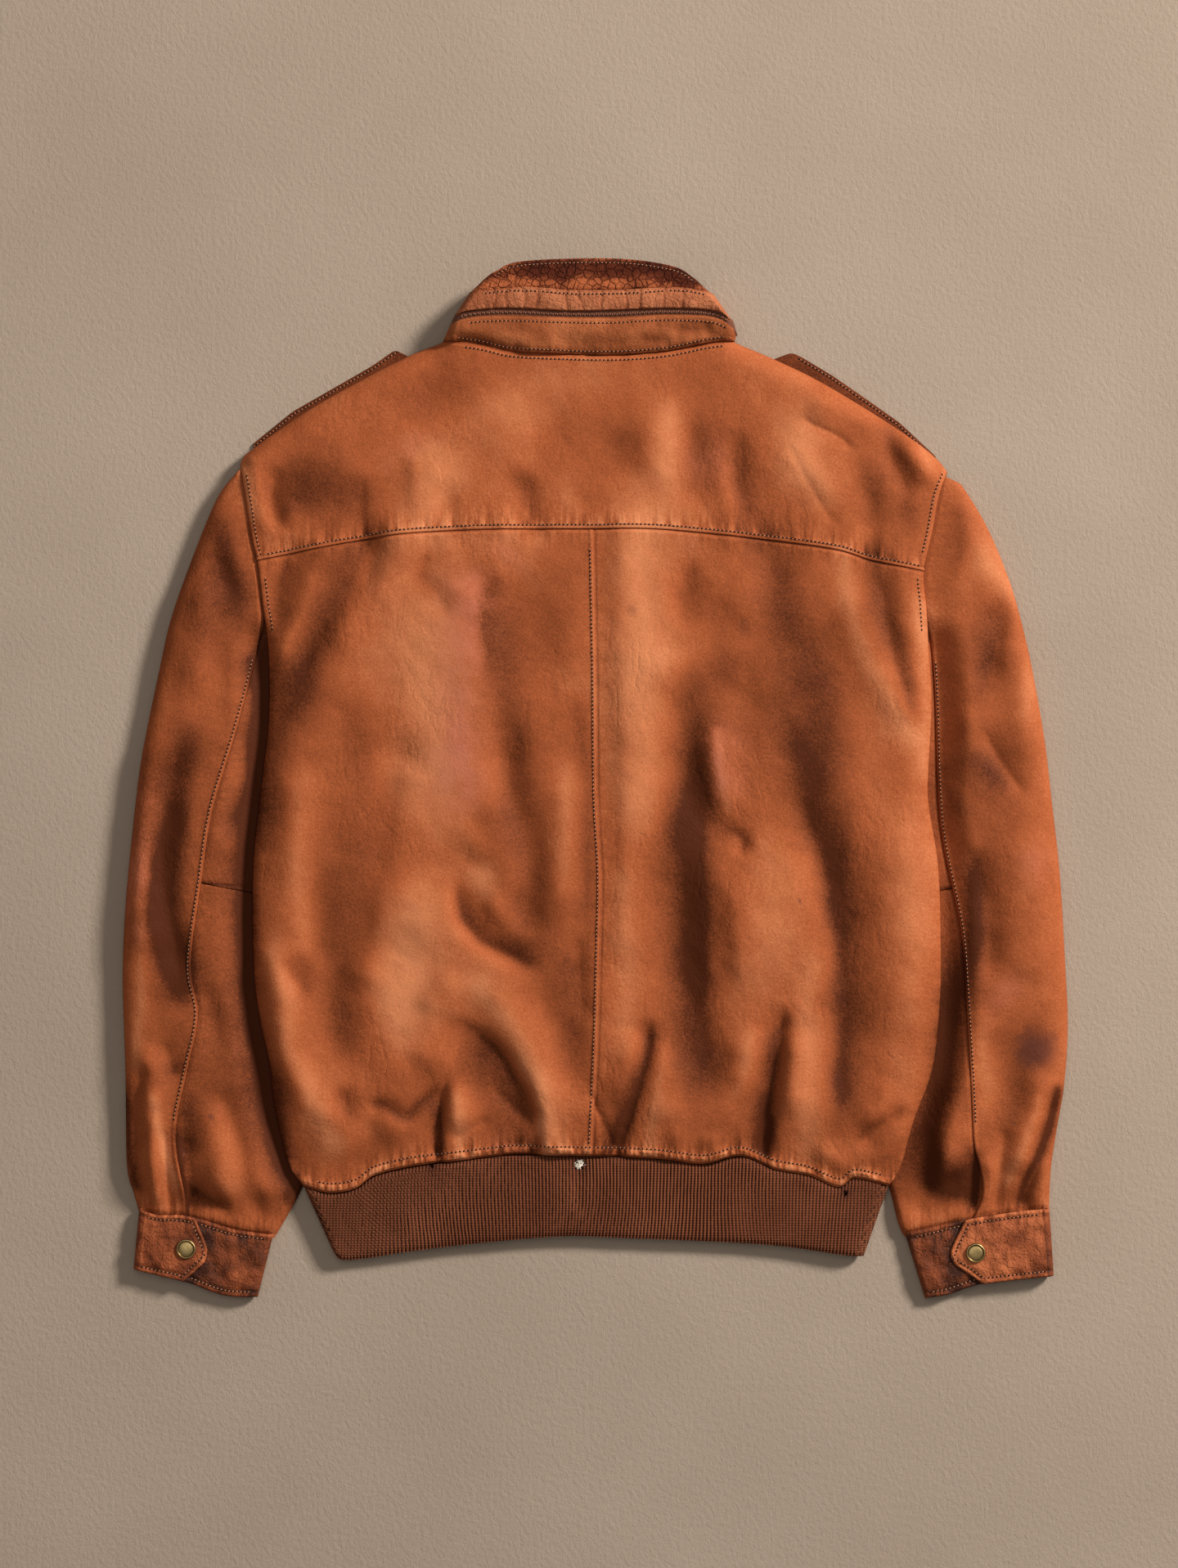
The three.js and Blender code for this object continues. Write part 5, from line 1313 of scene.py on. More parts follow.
def make_sleeve_outer(word, side):
    v = stations(575, grow(2.3), fine=1.2, end=3)
    start = seam_points(side, "back_seam", v)
    cap, cuff = side["body_edge"][0][1], side["cuff_top"][0][1]
    edge = line_at(side["sleeve_edge"], cap - 10, cuff + 1.6, v)
    end = seam_points(side, "front_seam", v)
    start[:, 0] -= side["sign"] * TUCK * ease(106, 122, start[:, 1])
    reach = np.minimum(SLEEVE_ROLL, 0.9 * np.abs(edge[:, 0] - start[:, 0]))
    shares = np.unique(np.concatenate([np.linspace(0, 0.14, 9), np.linspace(0.14, 1, 34)]))

    def seam_edge(x, y):
        out = side["sign"] * (x - x_at(side["back_seam"], y))
        return lerp(turned_edge(out * 1.35), tucked_edge(out), ease(104, 116, y)) * ease(cap - 4, cap - 14, y)

    points = sleeve_rows(side, start, edge, end, shares, reach, 2.4, seam_edge)
    points = tuck_under_cuff(side, points, v)
    maps = sleeve_maps(side, points, True)
    sleeve = make_cloth(f"sleeve_{word}", points, TAN, LEATHER, facing=-side["sign"], maps=maps)
    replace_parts(add_to_body(sleeve), f"sleeve_{word}_outer")
    return sleeve


UNDERARM_SHARE = 0.234
ARMHOLE_SHARE = 0.17
ELBOW_SHARE = 0.557


def tuck_under_cuff(side, points, v):
    """Bend the last rows to follow the cuff's edge, and lower them so that they run in under it."""
    ends = points[-1, :, 1]
    to_cuff = y_at(side["cuff_top"], points[-1, :, 0]) - 3.0 - ends
    points[..., 1] += to_cuff[None] * ease(0.86, 1.0, v)[:, None]
    past = y_at(side["cuff_top"], points[..., 0]) - points[..., 1]
    lowered = points[..., 2] - 2.6 * ease(-2.4, 0.4, past) * ease(3, 8, points[..., 2])
    points[..., 2] = np.maximum(lowered, 0)
    return points


def make_under_sleeve(word, side, part, low_share, high_share, drop):
    length = SLEEVE_LONG * (high_share - low_share)
    v = lerp(low_share, high_share, stations(length, grow(3.0), fine=1.2, start=4, end=4))
    shift = np.array([-side["sign"] * SEAM_GAP, 0.0])
    start = seam_points(side, "back_seam", v) - shift * TUCK / SEAM_GAP
    end = seam_points(side, "front_seam", v) + shift
    inner = side["inner_edge"]
    edge = line_at(inner, inner[0][1], inner[-1][1] + 1, (v - UNDERARM_SHARE) / (1 - UNDERARM_SHARE))
    shares = np.unique(np.concatenate([np.linspace(0, 0.08, 5), np.linspace(0.08, 1, 28)]))
    reach = np.full(len(v), 0.6 * UNDER_FOLD)
    elbow_y = seam_points(side, "back_seam", np.array([ELBOW_SHARE]))[0, 1]

    def seam_edge(x, y):
        inwards = side["sign"] * (x_at(side["back_seam"], y) - x)
        across = np.abs(y - elbow_y + 0.12 * inwards)
        return tucked_edge(inwards) - 0.8 * groove(across, 0, 1.4)

    points = sleeve_rows(side, start, edge, end, shares, reach, 2.9, seam_edge)
    points[..., 1] -= drop
    points = tuck_under_cuff(side, points, v)
    points[..., 2] *= lerp(1.0, 0.62, ease(104, 112, points[..., 1]))
    maps = sleeve_maps(side, points, False)
    seam = np.abs(points[..., 0] - x_at(side["back_seam"], points[..., 1]))
    # Painted shade in the elbow seam's groove.
    maps["groove_shade"] = maps["groove_shade"] + 0.6 * ease(1.6, 0, np.abs(points[..., 1] - elbow_y + 0.12 * seam))
    name = f"sleeve_{word}_under_{part}"
    sleeve = make_cloth(f"arm_{word}_under_{part}", points, TAN, LEATHER, facing=side["sign"], maps=maps)
    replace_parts(add_to_body(sleeve), name)
    return sleeve


# ---- Cuffs: a strip round the wrist, its pointed end snapped over the other ----
CUFF_OVERLAP = 0.22
OUTER_FOLD, INNER_FOLD = 0.055, 0.045
FAR = 99


def half_round(width, low, high, rising):
    angle = np.radians(np.linspace(8, 172, 13))
    if not rising:
        angle = np.pi - angle
    return width * (1 - np.sin(angle)), lerp(low, high, (1 - np.cos(angle)) / 2)


def cuff_lumps(x, y, seed):
    slanted = value_noise(x + 0.7 * y, y - 0.4 * x, 8, seed)
    return 0.9 * slanted + 0.45 * value_noise(x, y, 4.5, seed + 1)


def make_cuff(word, side):
    v = stations(CUFF_DEEP, grow(1.5), fine=0.7, start=3, end=3)
    first, middle, last = side["tab_reach"]
    reach = np.where(v < 0.5, lerp(first, middle, v * 2), lerp(middle, last, v * 2 - 1))
    reach = reach - 0.03 * groove(v, 0.5, 0.07)
    tab = stations(55, grow(1.4), fine=0.6, start=3, end=0)[::-1]
    round_out, z_out = half_round(OUTER_FOLD, 0, TAB_LOFT, False)
    round_in, z_in = half_round(INNER_FOLD, 0, CUFF_LOFT, True)
    under = np.linspace(0, 1, 24)
    over = np.linspace(0, 1, 44)
    tall = len(v)
    share = np.concatenate([
        lerp(OUTER_FOLD, reach[:, None], tab[::-1][None, ::-1]), np.tile(round_out, (tall, 1)),
        np.tile(lerp(OUTER_FOLD, 1 - INNER_FOLD, under), (tall, 1)), np.tile(1 - round_in, (tall, 1)),
        np.tile(lerp(1 - INNER_FOLD, CUFF_OVERLAP, over), (tall, 1))], axis=1)
    z = np.concatenate([np.full(len(tab), TAB_LOFT), z_out, np.zeros(len(under)), z_in,
                        np.full(len(over), CUFF_LOFT)])
    z = np.tile(z, (tall, 1))
    flat = lerp(travel(side["cuff_top"], share), travel(side["cuff_end"], share), v[:, None, None])
    x, y = flat[..., 0], flat[..., 1]
    edge = np.minimum(v, 1 - v)[:, None] * CUFF_DEEP
    column = np.arange(share.shape[1])[None]
    tab_end = np.where(column < len(tab), (reach[:, None] - share) * CUFF_ROUND, FAR)
    border = np.minimum(edge, np.clip(tab_end, 0, FAR))
    on_top = ease(0.6, 1, z / CUFF_LOFT)
    stitched = groove(border, CUFF_STITCH_INSET, 0.9)
    padding = 0.8 * ease(4, 10, border)
    z = z + on_top * (cuff_lumps(x, y, 71) - 0.8 * stitched - 0.9 * ease(1.1, 0, border) + padding)
    # Painted shade in the stitch groove and along the rounded edge.
    groove_shade = 0.25 * stitched + 0.3 * ease(1.3, 0, border)
    # Painted shade under the tab and its shadow beside the tab's end.
    tab_shadow = np.where(column >= len(tab) + len(z_out) + len(under) + len(z_in),
                         ease(12, 0, (share - reach[:, None]) * CUFF_ROUND), 0)
    # Lighter along the stitched border, darker towards the lower edge.
    edge_tones = 0.5 * ease(5, 1, border) - 0.5 * ease(9, 0, (1 - v)[:, None] * CUFF_DEEP)
    # The tab lighter where rubbed; the rest of the strip darker with painted shade.
    rubbed, beyond_tab_shade = side["cuff_wear_and_shade"]
    patches = 0.45 * value_noise(x, y, 13, 73) + 0.25 * value_noise(x, y, 6, 74)
    shade = edge_tones + patches + np.where(tab_end == FAR, -beyond_tab_shade, rubbed) - 0.6 * tab_shadow
    gather = 0.9 * np.exp(-np.clip(v[:, None] * CUFF_DEEP - 2, 0, FAR) / 5) + 0.2
    maps = leather_maps(x, y, shade=shade, gather_x=gather, groove_shade=groove_shade * on_top)
    points = np.stack([x, y, z], axis=-1)
    cuff = make_cloth(f"cuff_{word}_strip", points, CUFF_TAN, FOLDED_LEATHER, facing=-side["sign"], maps=maps)
    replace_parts(add_to_body(cuff), f"cuff_{word}")
    return cuff


def make_snap(word):
    """A pressed brass cap: a rolled rim, a groove and a shallow dome."""
    low, high = (Vector(corner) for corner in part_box(f"snap_{word}"))
    centre = (low + high) / 2
    radius = (high.x - low.x) / 2
    tall = high.z - low.z
    profile = [(0.0, 0.0), (0.97, 0.0), (1.0, 0.25), (1.0, 0.55), (0.97, 0.82), (0.91, 0.97), (0.84, 0.96),
               (0.79, 0.78), (0.74, 0.72), (0.66, 0.84), (0.5, 0.93), (0.25, 0.99), (0.0, 1.0)]
    bm = bmesh.new()
    corners = [bm.verts.new((centre.x + r * radius, centre.y, low.z + h * tall)) for r, h in profile]
    for a, b in zip(corners, corners[1:]):
        bm.edges.new((a, b))
    bmesh.ops.spin(bm, geom=bm.verts[:] + bm.edges[:], cent=centre, axis=(0, 0, 1), angle=math.tau,
                   steps=56, use_merge=True, use_duplicate=False)
    bmesh.ops.remove_doubles(bm, verts=bm.verts, dist=1e-6)
    bmesh.ops.recalc_face_normals(bm, faces=bm.faces)
    mesh = mesh_from(bm, f"snap_{word}_cap")
    place = np.array([vertex.co for vertex in mesh.vertices])
    away = np.hypot(place[:, 0] - centre.x, place[:, 1] - centre.y) / radius
    paint(mesh, "rim", groove(away, 0.78, 0.07) + 0.6 * ease(0.94, 1.0, away))
    snap = add_object(f"snap_{word}_cap", mesh, BRASS)
    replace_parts(add_to_body(snap), f"snap_{word}")
    return snap


# ---- Bands that go round and stay open at the centre front ----
SIDE_FOLD = 8.0
CENTRE_OPENING = 1.5


def band_row(line, height, front_y, across, in_front):
    """Centre front, left fold, across the back, right fold, centre front."""
    left, right = line[0], line[-1]

    def front(end, share):
        x = np.where(share == 0, np.sign(end[0]) * CENTRE_OPENING, end[0] * share)
        return np.stack([x, front_y(x), 0 * x], axis=-1)

    def fold(end, rising):
        inset, z = half_round(SIDE_FOLD, 0, height, rising)
        x = end[0] - np.sign(end[0]) * inset
        y = lerp(np.full(len(x), end[1]), y_at(line, x), ease(0.35, 0.8, z / height))
        return np.stack([x, y, z], axis=-1)

    back = np.stack([across, y_at(line, across), np.full(len(across), float(height))], axis=-1)
    return np.concatenate([front(left, in_front), fold(left, True), back, fold(right, False),
                           front(right, in_front[::-1])])


# Torn holes in the knit: (x, y, radius across, radius along)
RIB_HOLES = [(-12.3, -294, 4.2, 4.0), (-125.5, -295, 1.8, 1.5), (190.7, -315.7, 1.6, 2.0)]
FRAY = 2.5


def make_rib():
    count = math.ceil(448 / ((WALE / 4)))
    across_top = np.linspace(HEM[0][0] + SIDE_FOLD, HEM[-1][0] - SIDE_FOLD, count)
    across_low = np.linspace(RIB_END[0][0] + SIDE_FOLD, RIB_END[-1][0] - SIDE_FOLD, count)
    in_front = np.linspace(0, 0.93, 150)
    upper = band_row(HEM, HEM_LOFT, lambda x: FRONT_HEM + 0 * x, across_top, in_front)
    lower = band_row(RIB_END, HEM_LOFT - 2, lambda x: y_at(RIB_END, x) + 2, across_low, in_front)
    v = stations(RIB_DEEP, 3.2, fine=0.8, start=3.2, end=3.2)
    shares = lerp(0.012, 1, v)
    points = lerp(upper[None], lower[None], shares[:, None, None])
    x, y, z = points[..., 0], points[..., 1], points[..., 2]
    phase = (x - 4 * value_noise(x, y, 60, 81) * v[:, None]) / WALE
    phase = phase + 0.08 * value_noise(y, x, 9, 82)
    pull = stroke(x, y, [(-13, -294), (-13, -312), (-12, -334)], 5, 5)
    wale = np.abs(np.sin(np.pi * phase)) ** 0.8
    on_back = ease(0.7, 1, z / 11)
    waves = 0.8 * value_noise(x, y * 0.4, 30, 83) + 0.5 * value_noise(x, y * 0.5, 13, 84)
    near_seam = ease(5, 0, (shares * RIB_DEEP)[:, None])
    lip = ease(4, 0, ((1 - shares) * RIB_DEEP)[:, None])
    relief = 1.5 * (wale - 1) + waves * ease(0, 0.25, shares)[:, None] - 1.3 * near_seam - 1.4 * pull
    z = z + on_back * (relief - 1.6 * lip + 0.5)
    points = np.stack([x, y, z], axis=-1)
    frayed = sum(groove(x, cx, rx + FRAY) * groove(y, cy, ry + FRAY) for cx, cy, rx, ry in RIB_HOLES)
    # The stain map: darker round the torn holes, and painted shade in the top 5 mm, where the knit runs in
    # under the hem.
    maps = {"wale": wale, "stain": np.clip(0.6 * frayed + 0.35 * near_seam * on_back, 0, 1)}

    def torn(cx, cy, cz):
        return cz > 6 and any(math.hypot((cx - hx) / rx, (cy - hy) / ry) < 1 for hx, hy, rx, ry in RIB_HOLES)

    rib = make_cloth("waist_band_knit", points, KNIT_BROWN, KNIT, facing=-1, maps=maps, drop=torn)
    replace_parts(add_to_body(rib), "waist_rib")
    return rib


COLLAR_FOLDS = [
    (2.4, 6, 5, 0.1, [(-114, 342), (-94, 340), (-66, 334), (-38, 331), (-20, 331)]),
    (-2.2, 4, 5, 0.4, [(-112, 336), (-92, 334), (-70, 329), (-50, 327)]),
    (-2.4, 4, 4, 0.4, [(56, 345), (66, 342), (78, 342), (90, 347)]),
    (1.8, 5, 5, 0, [(60, 338), (74, 336), (90, 340)]),
    (1.4, 5, 5, 0, [(-60, 343), (-20, 341), (20, 340), (48, 342)]),
    (-1.2, 3, 3, 0.5, [(30, 336), (46, 334), (60, 332)]),
    (-2.0, 3, 4, 0.5, [(-84, 389), (-70, 385), (-44, 383), (-12, 381)]),
    (-1.6, 3, 3, 0.5, [(14, 384), (34, 388), (60, 384)]),
    (1.8, 5, 5, 0, [(-66, 379), (-40, 378), (-10, 376), (20, 378), (50, 379)]),
    (-1.4, 3, 3, 0.4, [(40, 380), (60, 378), (80, 374)]),
]
BAND_CRACKS = [-76, -67, -56, -45, -22, -12, 5, 21, 34, 52, 68]
COLLAR_BANDS = [
    {"name": "collar_stand", "look": STAND_TAN, "slot": "tan_leather", "flat": (0.44, 0.028), "level": 0,
     "ends": (0.01, 1.0), "bulge": 1.5, "rows": 17},
    {"name": "collar_zip", "look": TAPE, "slot": "zip_tape", "flat": (0.44, 0.0125), "level": 1,
     "ends": (-0.25, 1.3), "bulge": -1.2, "rows": 7},
    {"name": "collar_band", "look": COLLAR_LIGHT, "slot": "tan_leather", "flat": (0.44, 0.018), "level": 2,
     "ends": (0.0, 1.04), "bulge": 1.5, "rows": 16},
    {"name": "collar_top", "look": COLLAR_DARK, "slot": "dark_leather", "flat": (0.44, 0.026), "level": 3,
     "ends": (0.0, 1.0), "bulge": 2.0, "rows": 19},
]


def collar_level_row(level):
    line = level["line"]
    across = np.linspace(line[0][0] + SIDE_FOLD, line[-1][0] - SIDE_FOLD, 180)
    in_front = np.linspace(0, 0.93, 36)
    return band_row(line, level["height"], lambda x: front_collar_y(level, x), across, in_front)


def band_cracks(x, y, width):
    """Upright cracks across the collar band, 1 in their middles."""
    wander = 3.2 * value_noise(x, y, 8, 93)
    return sum(groove(x - at - wander, 0, width) for at in BAND_CRACKS)


def band_height(name, x, y, up, down):
    """Relief of one collar band, `up` from its lower edge and `down` from its upper one."""
    lumps = 0.5 * value_noise(x, y, 12, 91) + 0.28 * value_noise(x, y, 5, 92)
    if name == "collar_stand":
        lumps = lumps - 1.2 * ease(2.2, 0, up) - 0.6 * groove(up, 2.6, 0.9)
        lumps = lumps - 0.5 * groove(down, 3.2, 0.8) - 0.7 * ease(1, 0, down)
    if name == "collar_band":
        lumps = lumps + 0.6 - 0.8 * band_cracks(x, y, 0.9)
        lumps = lumps - 0.7 * ease(1, 0, up) - 0.5 * groove(down, 1.8, 0.7)
    if name == "collar_top":
        lumps = lumps - 1.0 * ease(1.4, 0, up) - 0.5 * groove(down, 2.6, 0.8)
        lumps = lumps + 0.35 * value_noise(x, y, 3, 95) - 0.8 * ease(1.2, 0, down)
    return lumps


def band_shade(name, x, y, rise, up, down):
    """Tone of one collar band, added to its dye: random patches, lighter and darker strips along its edges,
    the collar band darker at its left end, and the top band rubbed lighter low down and at its ends and
    darker towards its top.
    """
    shade = 0.3 * value_noise(x, y, 14, 95)
    if name == "collar_stand":
        shade = shade + 0.35 * ease(5, 1, down) - 0.25 * ease(8, 2, up)
    if name == "collar_band":
        shade = shade + 0.1 + 0.35 * ease(4, 1, up) - 0.3 * ease(-60, -95, x)
    if name == "collar_top":
        worn_low = ease(0.52, 0.12, rise) * (0.8 + 0.6 * value_noise(x, y, 16, 97))
        worn_end = 1.0 * ease(-40, -80, x) + 0.7 * ease(62, 88, x)
        shade = shade + 0.65 * worn_low + worn_end - 0.45 * ease(0.35, 0.7, rise)
        shade = shade + 0.4 * value_noise(x, y, 8, 98) + 0.8 * ease(2.5, 0.5, down)
    return shade


def make_collar_band(band, levels):
    low, high = levels[band["level"]], levels[band["level"] + 1]
    name, width = band["name"], band["flat"][1] / MM
    is_zip = name == "collar_zip"
    rise = np.linspace(0, 1, band["rows"])[:, None]
    shares = lerp(*band["ends"], rise)
    points = lerp(low[None], high[None], shares[:, None])
    x, y, z = (points[..., k] for k in range(3))
    on_back = ease(0.7, 1, z / COLLAR[band["level"]]["height"])
    up, down = rise * width, (1 - rise) * width
    relief = band_height(name, x, y, up, down)
    if not is_zip:
        relief = relief + creases(COLLAR_FOLDS, x, y)
    arch = 1.0 if is_zip else np.sin(np.pi * shares)
    z = z + on_back * (band["bulge"] * arch + relief)
    # Painted shade in the grooves at the foot and top of each band, and in the cracks.
    foot_shade = 0.3 if name == "collar_stand" else 0.7
    groove_shade = on_back * (foot_shade * ease(1.5, 0, up) + 0.5 * ease(1.5, 0, down))
    if name == "collar_band":
        groove_shade = groove_shade + 0.35 * band_cracks(x, y, 0.7)
    # Painted shade and highlight: darker in the relief's hollows, lighter on its bumps.
    shade = band_shade(name, x, y, rise, up, down) + 0.12 * relief
    maps = {"tone": shade, "gather_x": 0.6 * ease(9, 3, up), "groove_shade": groove_shade}
    maps |= dict.fromkeys(("pink", "stain", "gather_y"), 0)
    cloth_name = "collar_zip_tape" if is_zip else f"{name}_leather"
    points = np.stack([x, y, z], axis=-1)
    cloth = make_cloth(cloth_name, points, band["look"], FOLDED_LEATHER, maps=maps)
    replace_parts(add_to_body(cloth), name)
    return cloth


# ---- Shoulder straps, lying under the shoulder's edge ----
def make_strap(word, side):
    low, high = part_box(f"epaulette_{word}")
    bm = bmesh.new()
    shape = np.array(side["strap"], float)
    first, last, shift = side["strap_outer"]
    shape[first:last] += shift
    bm.faces.new([bm.verts.new((x * MM, y * MM, low[2])) for x, y in shape])
    bevel(bm, bm.verts[:], 3, 4, "VERTICES")
    made = bmesh.ops.extrude_face_region(bm, geom=bm.faces[:])
    raised = [item for item in made["geom"] if isinstance(item, bmesh.types.BMVert)]
    bmesh.ops.translate(bm, vec=(0, 0, high[2] - low[2]), verts=raised)
    bmesh.ops.recalc_face_normals(bm, faces=bm.faces)
    rims = [edge for edge in bm.edges if len(edge.link_faces) == 2 and edge.calc_face_angle(0) > 1]
    bevel(bm, rims, 0.7, 3)
    mesh = mesh_from(bm, f"shoulder_strap_{word}")
    # The whole strap painted dark as the shade under the shoulder's edge.
    paint_plain(mesh, -0.85)
    strap = add_object(f"shoulder_strap_{word}", mesh, TAN)
    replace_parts(add_to_body(strap), f"epaulette_{word}")
    make_stitches(f"strap_{word}_stitches", [strap], [shape[:5] - np.array([side["sign"] * 1.1, 1.9])])
    return strap


# ---- Stitching ----
def drop_on(tree, x, y):
    """The point and the way out of a piece's top at (x, y)."""
    hit, normal, _, _ = tree.ray_cast(Vector((x * MM, y * MM, 0.1)), Vector((0, 0, -1)))
    return hit, normal


def surface_of(pieces):
    bm = bmesh.new()
    for piece in pieces:
        bm.from_mesh(piece.data)
    tree = BVHTree.FromBMesh(bm)
    bm.free()
    return tree


def make_stitches(name, pieces, lines):
    """Raised threads along these lines, each after its needle hole, lying on the pieces."""
    tree = surface_of(pieces)
    thread, holes = bmesh.new(), bmesh.new()
    for line in lines:
        line = np.asarray(line, float)
        count = max(2, round(lengths(line)[-1] / STITCH_PITCH))
        marks = travel(line, (np.arange(count) + 0.5) / count)
        ways = travel(line, (np.arange(count) + 0.7) / count) - travel(line, (np.arange(count) + 0.3) / count)
        for (x, y), (dx, dy) in zip(marks, ways):
            hit, normal = drop_on(tree, x, y)
            if hit is None:
                continue
            along = Vector((dx, dy, 0)).normalized()
            along = (along - normal * along.dot(normal)).normalized()
            across = normal.cross(along)
            turn = Matrix((along, across, normal)).transposed().to_4x4()
            raised = hit + normal * 0.12 * MM
            stitch = Matrix.Translation(raised) @ turn @ sized(*(size / 2 for size in STITCH_SIZE))
            bmesh.ops.create_uvsphere(thread, u_segments=6, v_segments=4, radius=1, matrix=stitch)
            # A near-black flat ellipsoid in each gap, as painted shade of the needle hole.
            gap = hit + along * (STITCH_PITCH / 2 * MM)
            hole = Matrix.Translation(gap + normal * 0.12 * MM) @ turn @ sized(*HOLE_RADII)
            bmesh.ops.create_uvsphere(holes, u_segments=6, v_segments=3, radius=1, matrix=hole)
    for bm, part, material in ((thread, "thread", THREAD), (holes, "holes", HOLE_SHADE)):
        add_to_body(add_object(f"{name}_{part}", mesh_from(bm, f"{name}_{part}"), material))


def part_of(line, key, low, high, shift=(0, 0)):
    """What lies between two values of x (key 0) or y (key 1), moved aside by `shift`."""
    return line[(line[:, key] >= low) & (line[:, key] <= high)] + np.array(shift)


def armhole_lines(low, high, inset):
    return [part_of(side["body_edge"], 1, low, high, (-side["sign"] * inset, 0)) for side in (LEFT, RIGHT)]


def stitch_the_body(yoke, panels):
    yoke_line = part_of(YOKE_SEAM, 0, -255, 246, (0, YOKE_STITCH_INSET))
    make_stitches("yoke_stitches", [yoke], [yoke_line, *armhole_lines(172, 238, 4.4)])
    make_stitches("neck_stitches", [yoke], [part_of(COLLAR[0]["line"], 0, -104, 96, (0, -3.0))])
    centre = part_of(CENTRE_SEAM, 1, -279, 187, (-2.9, 0))
    hem = part_of(HEM, 0, -216, 218, (0, HEM_STITCH_INSET))
    make_stitches("back_stitches", panels, [centre, hem, *armhole_lines(112, 158, 5.2)])


def stitch_the_arms(sleeves):
    for word, side in SIDES:
        seam = part_of(side["back_seam"], 1, -262, 96, (side["sign"] * 2.6, 0))
        make_stitches(f"sleeve_{word}_stitches", [sleeves[word]], [seam])


def cuff_edge_lines(side):
    """The stitched border 4 mm inside the tab and along both long edges."""
    first, middle, last = side["tab_reach"]
    near, far = CUFF_STITCH_INSET / CUFF_DEEP, 1 - CUFF_STITCH_INSET / CUFF_DEEP

    def run(a, b):
        share, v = np.linspace(a[0], b[0], 12), np.linspace(a[1], b[1], 12)
        return lerp(travel(side["cuff_top"], share), travel(side["cuff_end"], share), v[:, None])

    back = CUFF_STITCH_INSET / CUFF_ROUND
    path = [(0.07, near), (first - back + 0.02, near), (middle - 1.3 * back, 0.5), (last - back + 0.02, far),
            (0.07, far)]
    tab = np.vstack([run(a, b) for a, b in zip(path, path[1:])])
    return [tab, run((first + 0.04, near), (0.94, near)), run((last + 0.04, far), (0.94, far))]


def stitch_the_collar(bands):
    neck, below_zip, _, over_band, top = (level["line"] for level in COLLAR)
    stand_lines = [part_of(neck, 0, -106, 97, (0, 3.4)), part_of(below_zip, 0, -100, 98, (0, -4.4))]
    make_stitches("stand_stitches", [bands["collar_stand"]], stand_lines)
    make_stitches("band_stitches", [bands["collar_band"]], [part_of(over_band, 0, -90, 84, (0, -2.4))])
    make_stitches("top_stitches", [bands["collar_top"]], [part_of(top, 0, -78, 74, (0, -3.4))])


TOOTH = (1.1, 1.5, 0.7)


def make_zip_teeth(tape):
    """Two rows of small moulded teeth along the collar's zip, one joined mesh."""
    tree = surface_of([tape])
    bm = bmesh.new()
    run = np.linspace(0.04, 0.96, 118)
    low, high = travel(COLLAR[1]["line"], run), travel(COLLAR[2]["line"], run)
    for i, (a, b) in enumerate(zip(low, high)):
        x, y = lerp(a, b, 0.47 + (0.05 if i % 2 else -0.05))
        hit, normal = drop_on(tree, x, y)
        if hit is None:
            continue
        tooth = Matrix.Translation(hit + normal * 0.3 * MM) @ sized(*TOOTH)
        bmesh.ops.create_cube(bm, size=1.0, matrix=tooth)
    bevel(bm, bm.edges[:], 0.18, 1)
    return add_to_body(add_object("collar_zip_teeth", mesh_from(bm, "collar_zip_teeth"), TEETH))


def make_fluff():
    """White lining that pokes out of the hole in the knit, as short curled fibres."""
    draw = np.random.default_rng(7)
    bm = bmesh.new()
    for _ in range(90):
        x, y = RIB_HOLES[0][0] + draw.normal(0, 1.7), RIB_HOLES[0][1] + 0.4 + draw.normal(0, 1.5)
        turn = Matrix.Rotation(draw.uniform(0, math.pi), 4, "Z")
        turn = turn @ Matrix.Rotation(draw.uniform(-0.6, 0.6), 4, "Y")
        shape = sized(draw.uniform(0.8, 1.9), 0.28, 0.24)
        place = Matrix.Translation((x * MM, y * MM, (HEM_LOFT - 1.6 + draw.uniform(0, 1.0)) * MM))
        bmesh.ops.create_uvsphere(bm, u_segments=6, v_segments=4, radius=1, matrix=place @ turn @ shape)
    return add_to_body(add_object("lining_fluff", mesh_from(bm, "lining_fluff"), FLUFF))


# ---- Floor, light and camera ----
def make_floor():
    bm = bmesh.new()
    bmesh.ops.create_grid(bm, x_segments=2, y_segments=2, size=4.0)
    material, tree, surface, at = new_material("pale_floor")
    cloud = noise(tree, at, 3.0, 4.0, 0.6)
    fleck = noise(tree, at, 700.0, 3.0, 0.7)
    colour = blend_colours(tree, spread(tree, cloud, 0.3, 0.7), tint(166, 147, 129), tint(177, 158, 140))
    colour = blend_colours(tree, spread(tree, fleck, 0.62, 0.8, 0.0, 0.3), colour, tint(150, 130, 110))
    tree.links.new(colour, surface.inputs["Base Color"])
    plaster = noise(tree, stretch(tree, at, (300.0, 210.0, 200.0)), 1.0, 6.0, 0.7)
    dents(tree, surface, plaster, 0.7, 0.0012)
    surface.inputs["Roughness"].default_value = 0.9
    surface.inputs["Specular IOR Level"].default_value = 0.2
    floor = add_object("floor", mesh_from(bm, "floor"), material)
    floor.location.z = -0.0004
    floor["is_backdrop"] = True
    return floor


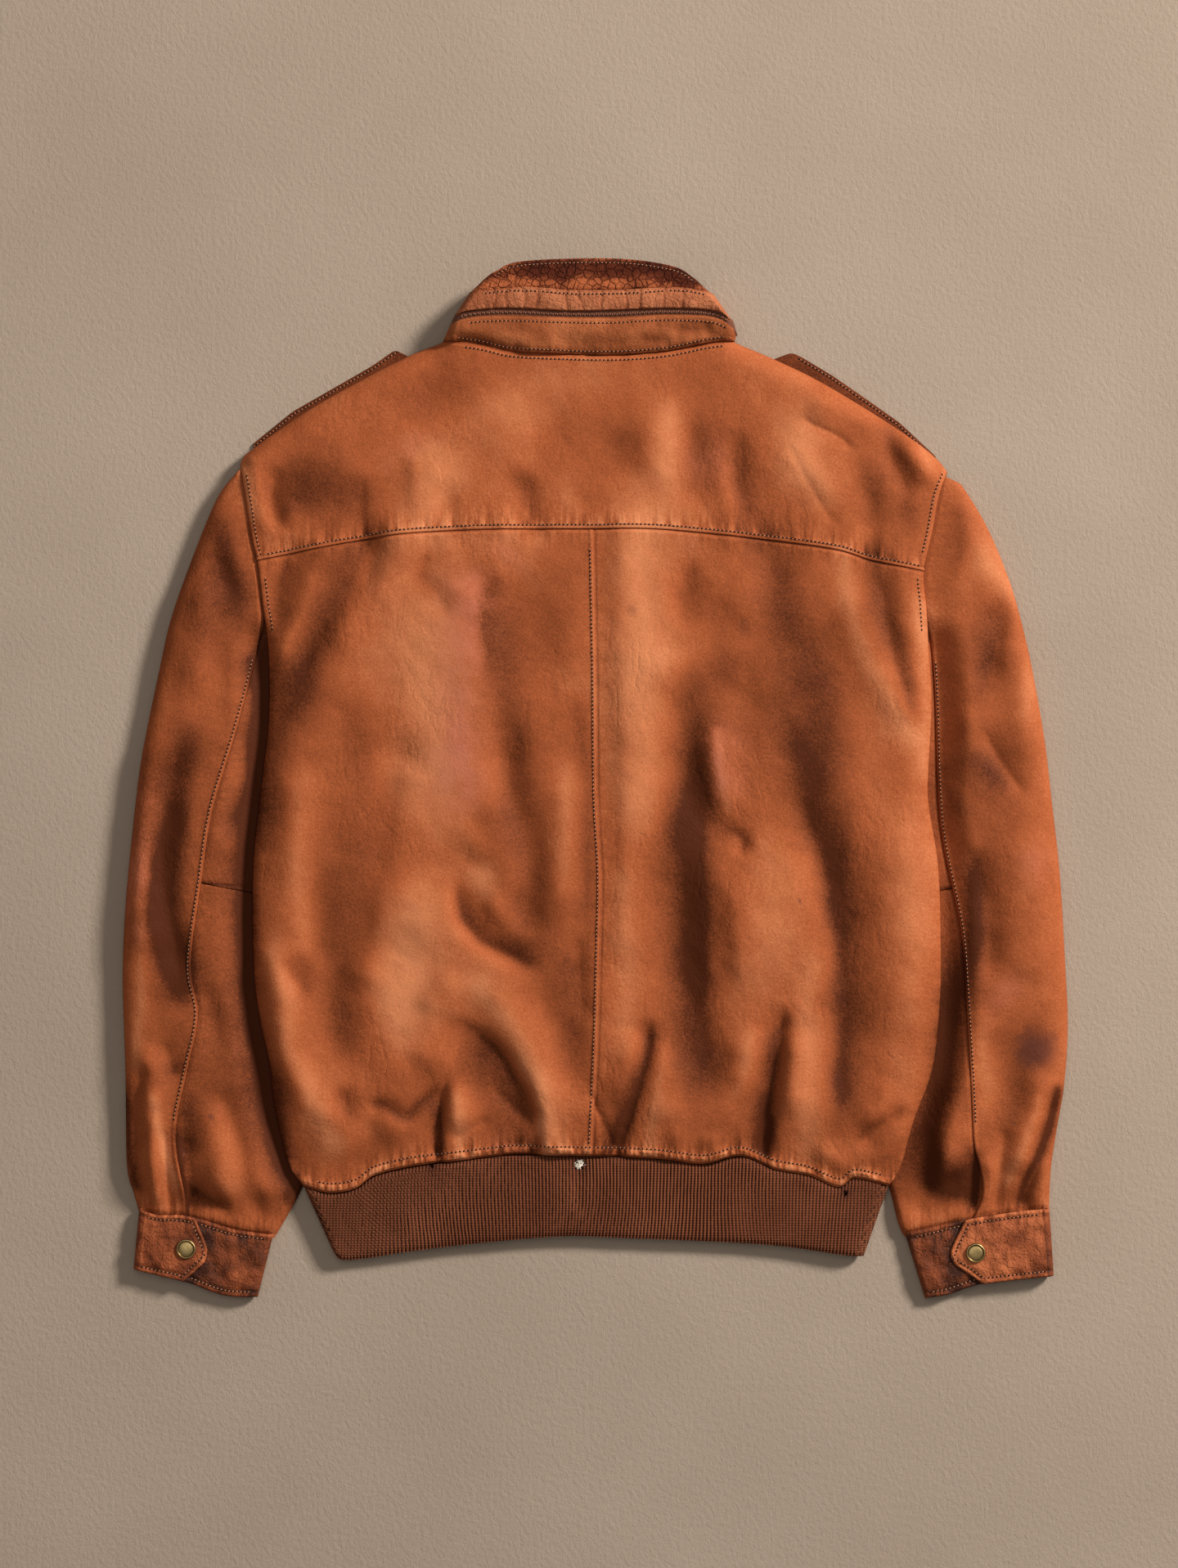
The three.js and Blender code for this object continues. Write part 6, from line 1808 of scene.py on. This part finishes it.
def add_light(name, place, target, size, power, colour):
    light = bpy.data.lights.new(name, "AREA")
    light.shape = "SQUARE"
    light.size = size
    light.energy = power
    light.color = colour
    lamp = bpy.data.objects.new(name, light)
    lamp.location = place
    lamp.rotation_euler = (Vector(target) - Vector(place)).to_track_quat("-Z", "Y").to_euler()
    bpy.context.scene.collection.objects.link(lamp)
    return lamp


def make_studio():
    make_floor()
    add_light("key", (3.8, 2.75, 2.65), (0, 0, 0), 1.0, 412, (1.0, 0.975, 0.94))
    add_light("top_fill", (-0.4, 0.6, 3.6), (0, 0, 0), 2.6, 24, (1.0, 0.98, 0.95))
    world = bpy.data.worlds.new("studio")
    world.use_nodes = True
    world.node_tree.nodes["Background"].inputs["Color"].default_value = (1.0, 0.97, 0.93, 1.0)
    world.node_tree.nodes["Background"].inputs["Strength"].default_value = 0.17
    bpy.context.scene.world = world
    bpy.context.scene.view_settings.view_transform = "Standard"


def make_camera():
    camera = bpy.data.cameras.new("camera")
    camera.lens = 85
    camera.sensor_fit = "VERTICAL"
    camera.sensor_height = 36
    view_height, reference_height = 1.198, 0.012
    lens = bpy.data.objects.new("camera", camera)
    lens.location = (-0.0053, -0.0028, view_height * camera.lens / camera.sensor_height + reference_height)
    camera.clip_end = 50
    bpy.context.scene.collection.objects.link(lens)
    bpy.context.scene.camera = lens


def build():
    make_camera()
    make_studio()
    for word, side in SIDES:
        make_front(word, side)
    make_fly()
    yoke = make_yoke()
    panels = [make_back_panel(word, side) for word, side in SIDES]
    sleeves = {}
    for word, side in SIDES:
        sleeves[word] = make_sleeve_outer(word, side)
        make_under_sleeve(word, side, "upper", ARMHOLE_SHARE, ELBOW_SHARE, 0.0)
        make_under_sleeve(word, side, "lower", ELBOW_SHARE, 1.0, SEAM_GAP + 0.2)
        cuff = make_cuff(word, side)
        make_stitches(f"cuff_{word}_stitches", [cuff], cuff_edge_lines(side))
        make_snap(word)
        make_strap(word, side)
    make_rib()
    levels = [collar_level_row(level) for level in COLLAR]
    bands = {band["name"]: make_collar_band(band, levels) for band in COLLAR_BANDS}
    make_zip_teeth(bands["collar_zip"])
    make_fluff()
    stitch_the_body(yoke, panels)
    stitch_the_arms(sleeves)
    stitch_the_collar(bands)


build()
({"cad": [list(map(float, corner)) for corner in cad_box],
           "visual": [list(map(float, corner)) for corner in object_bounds()]})
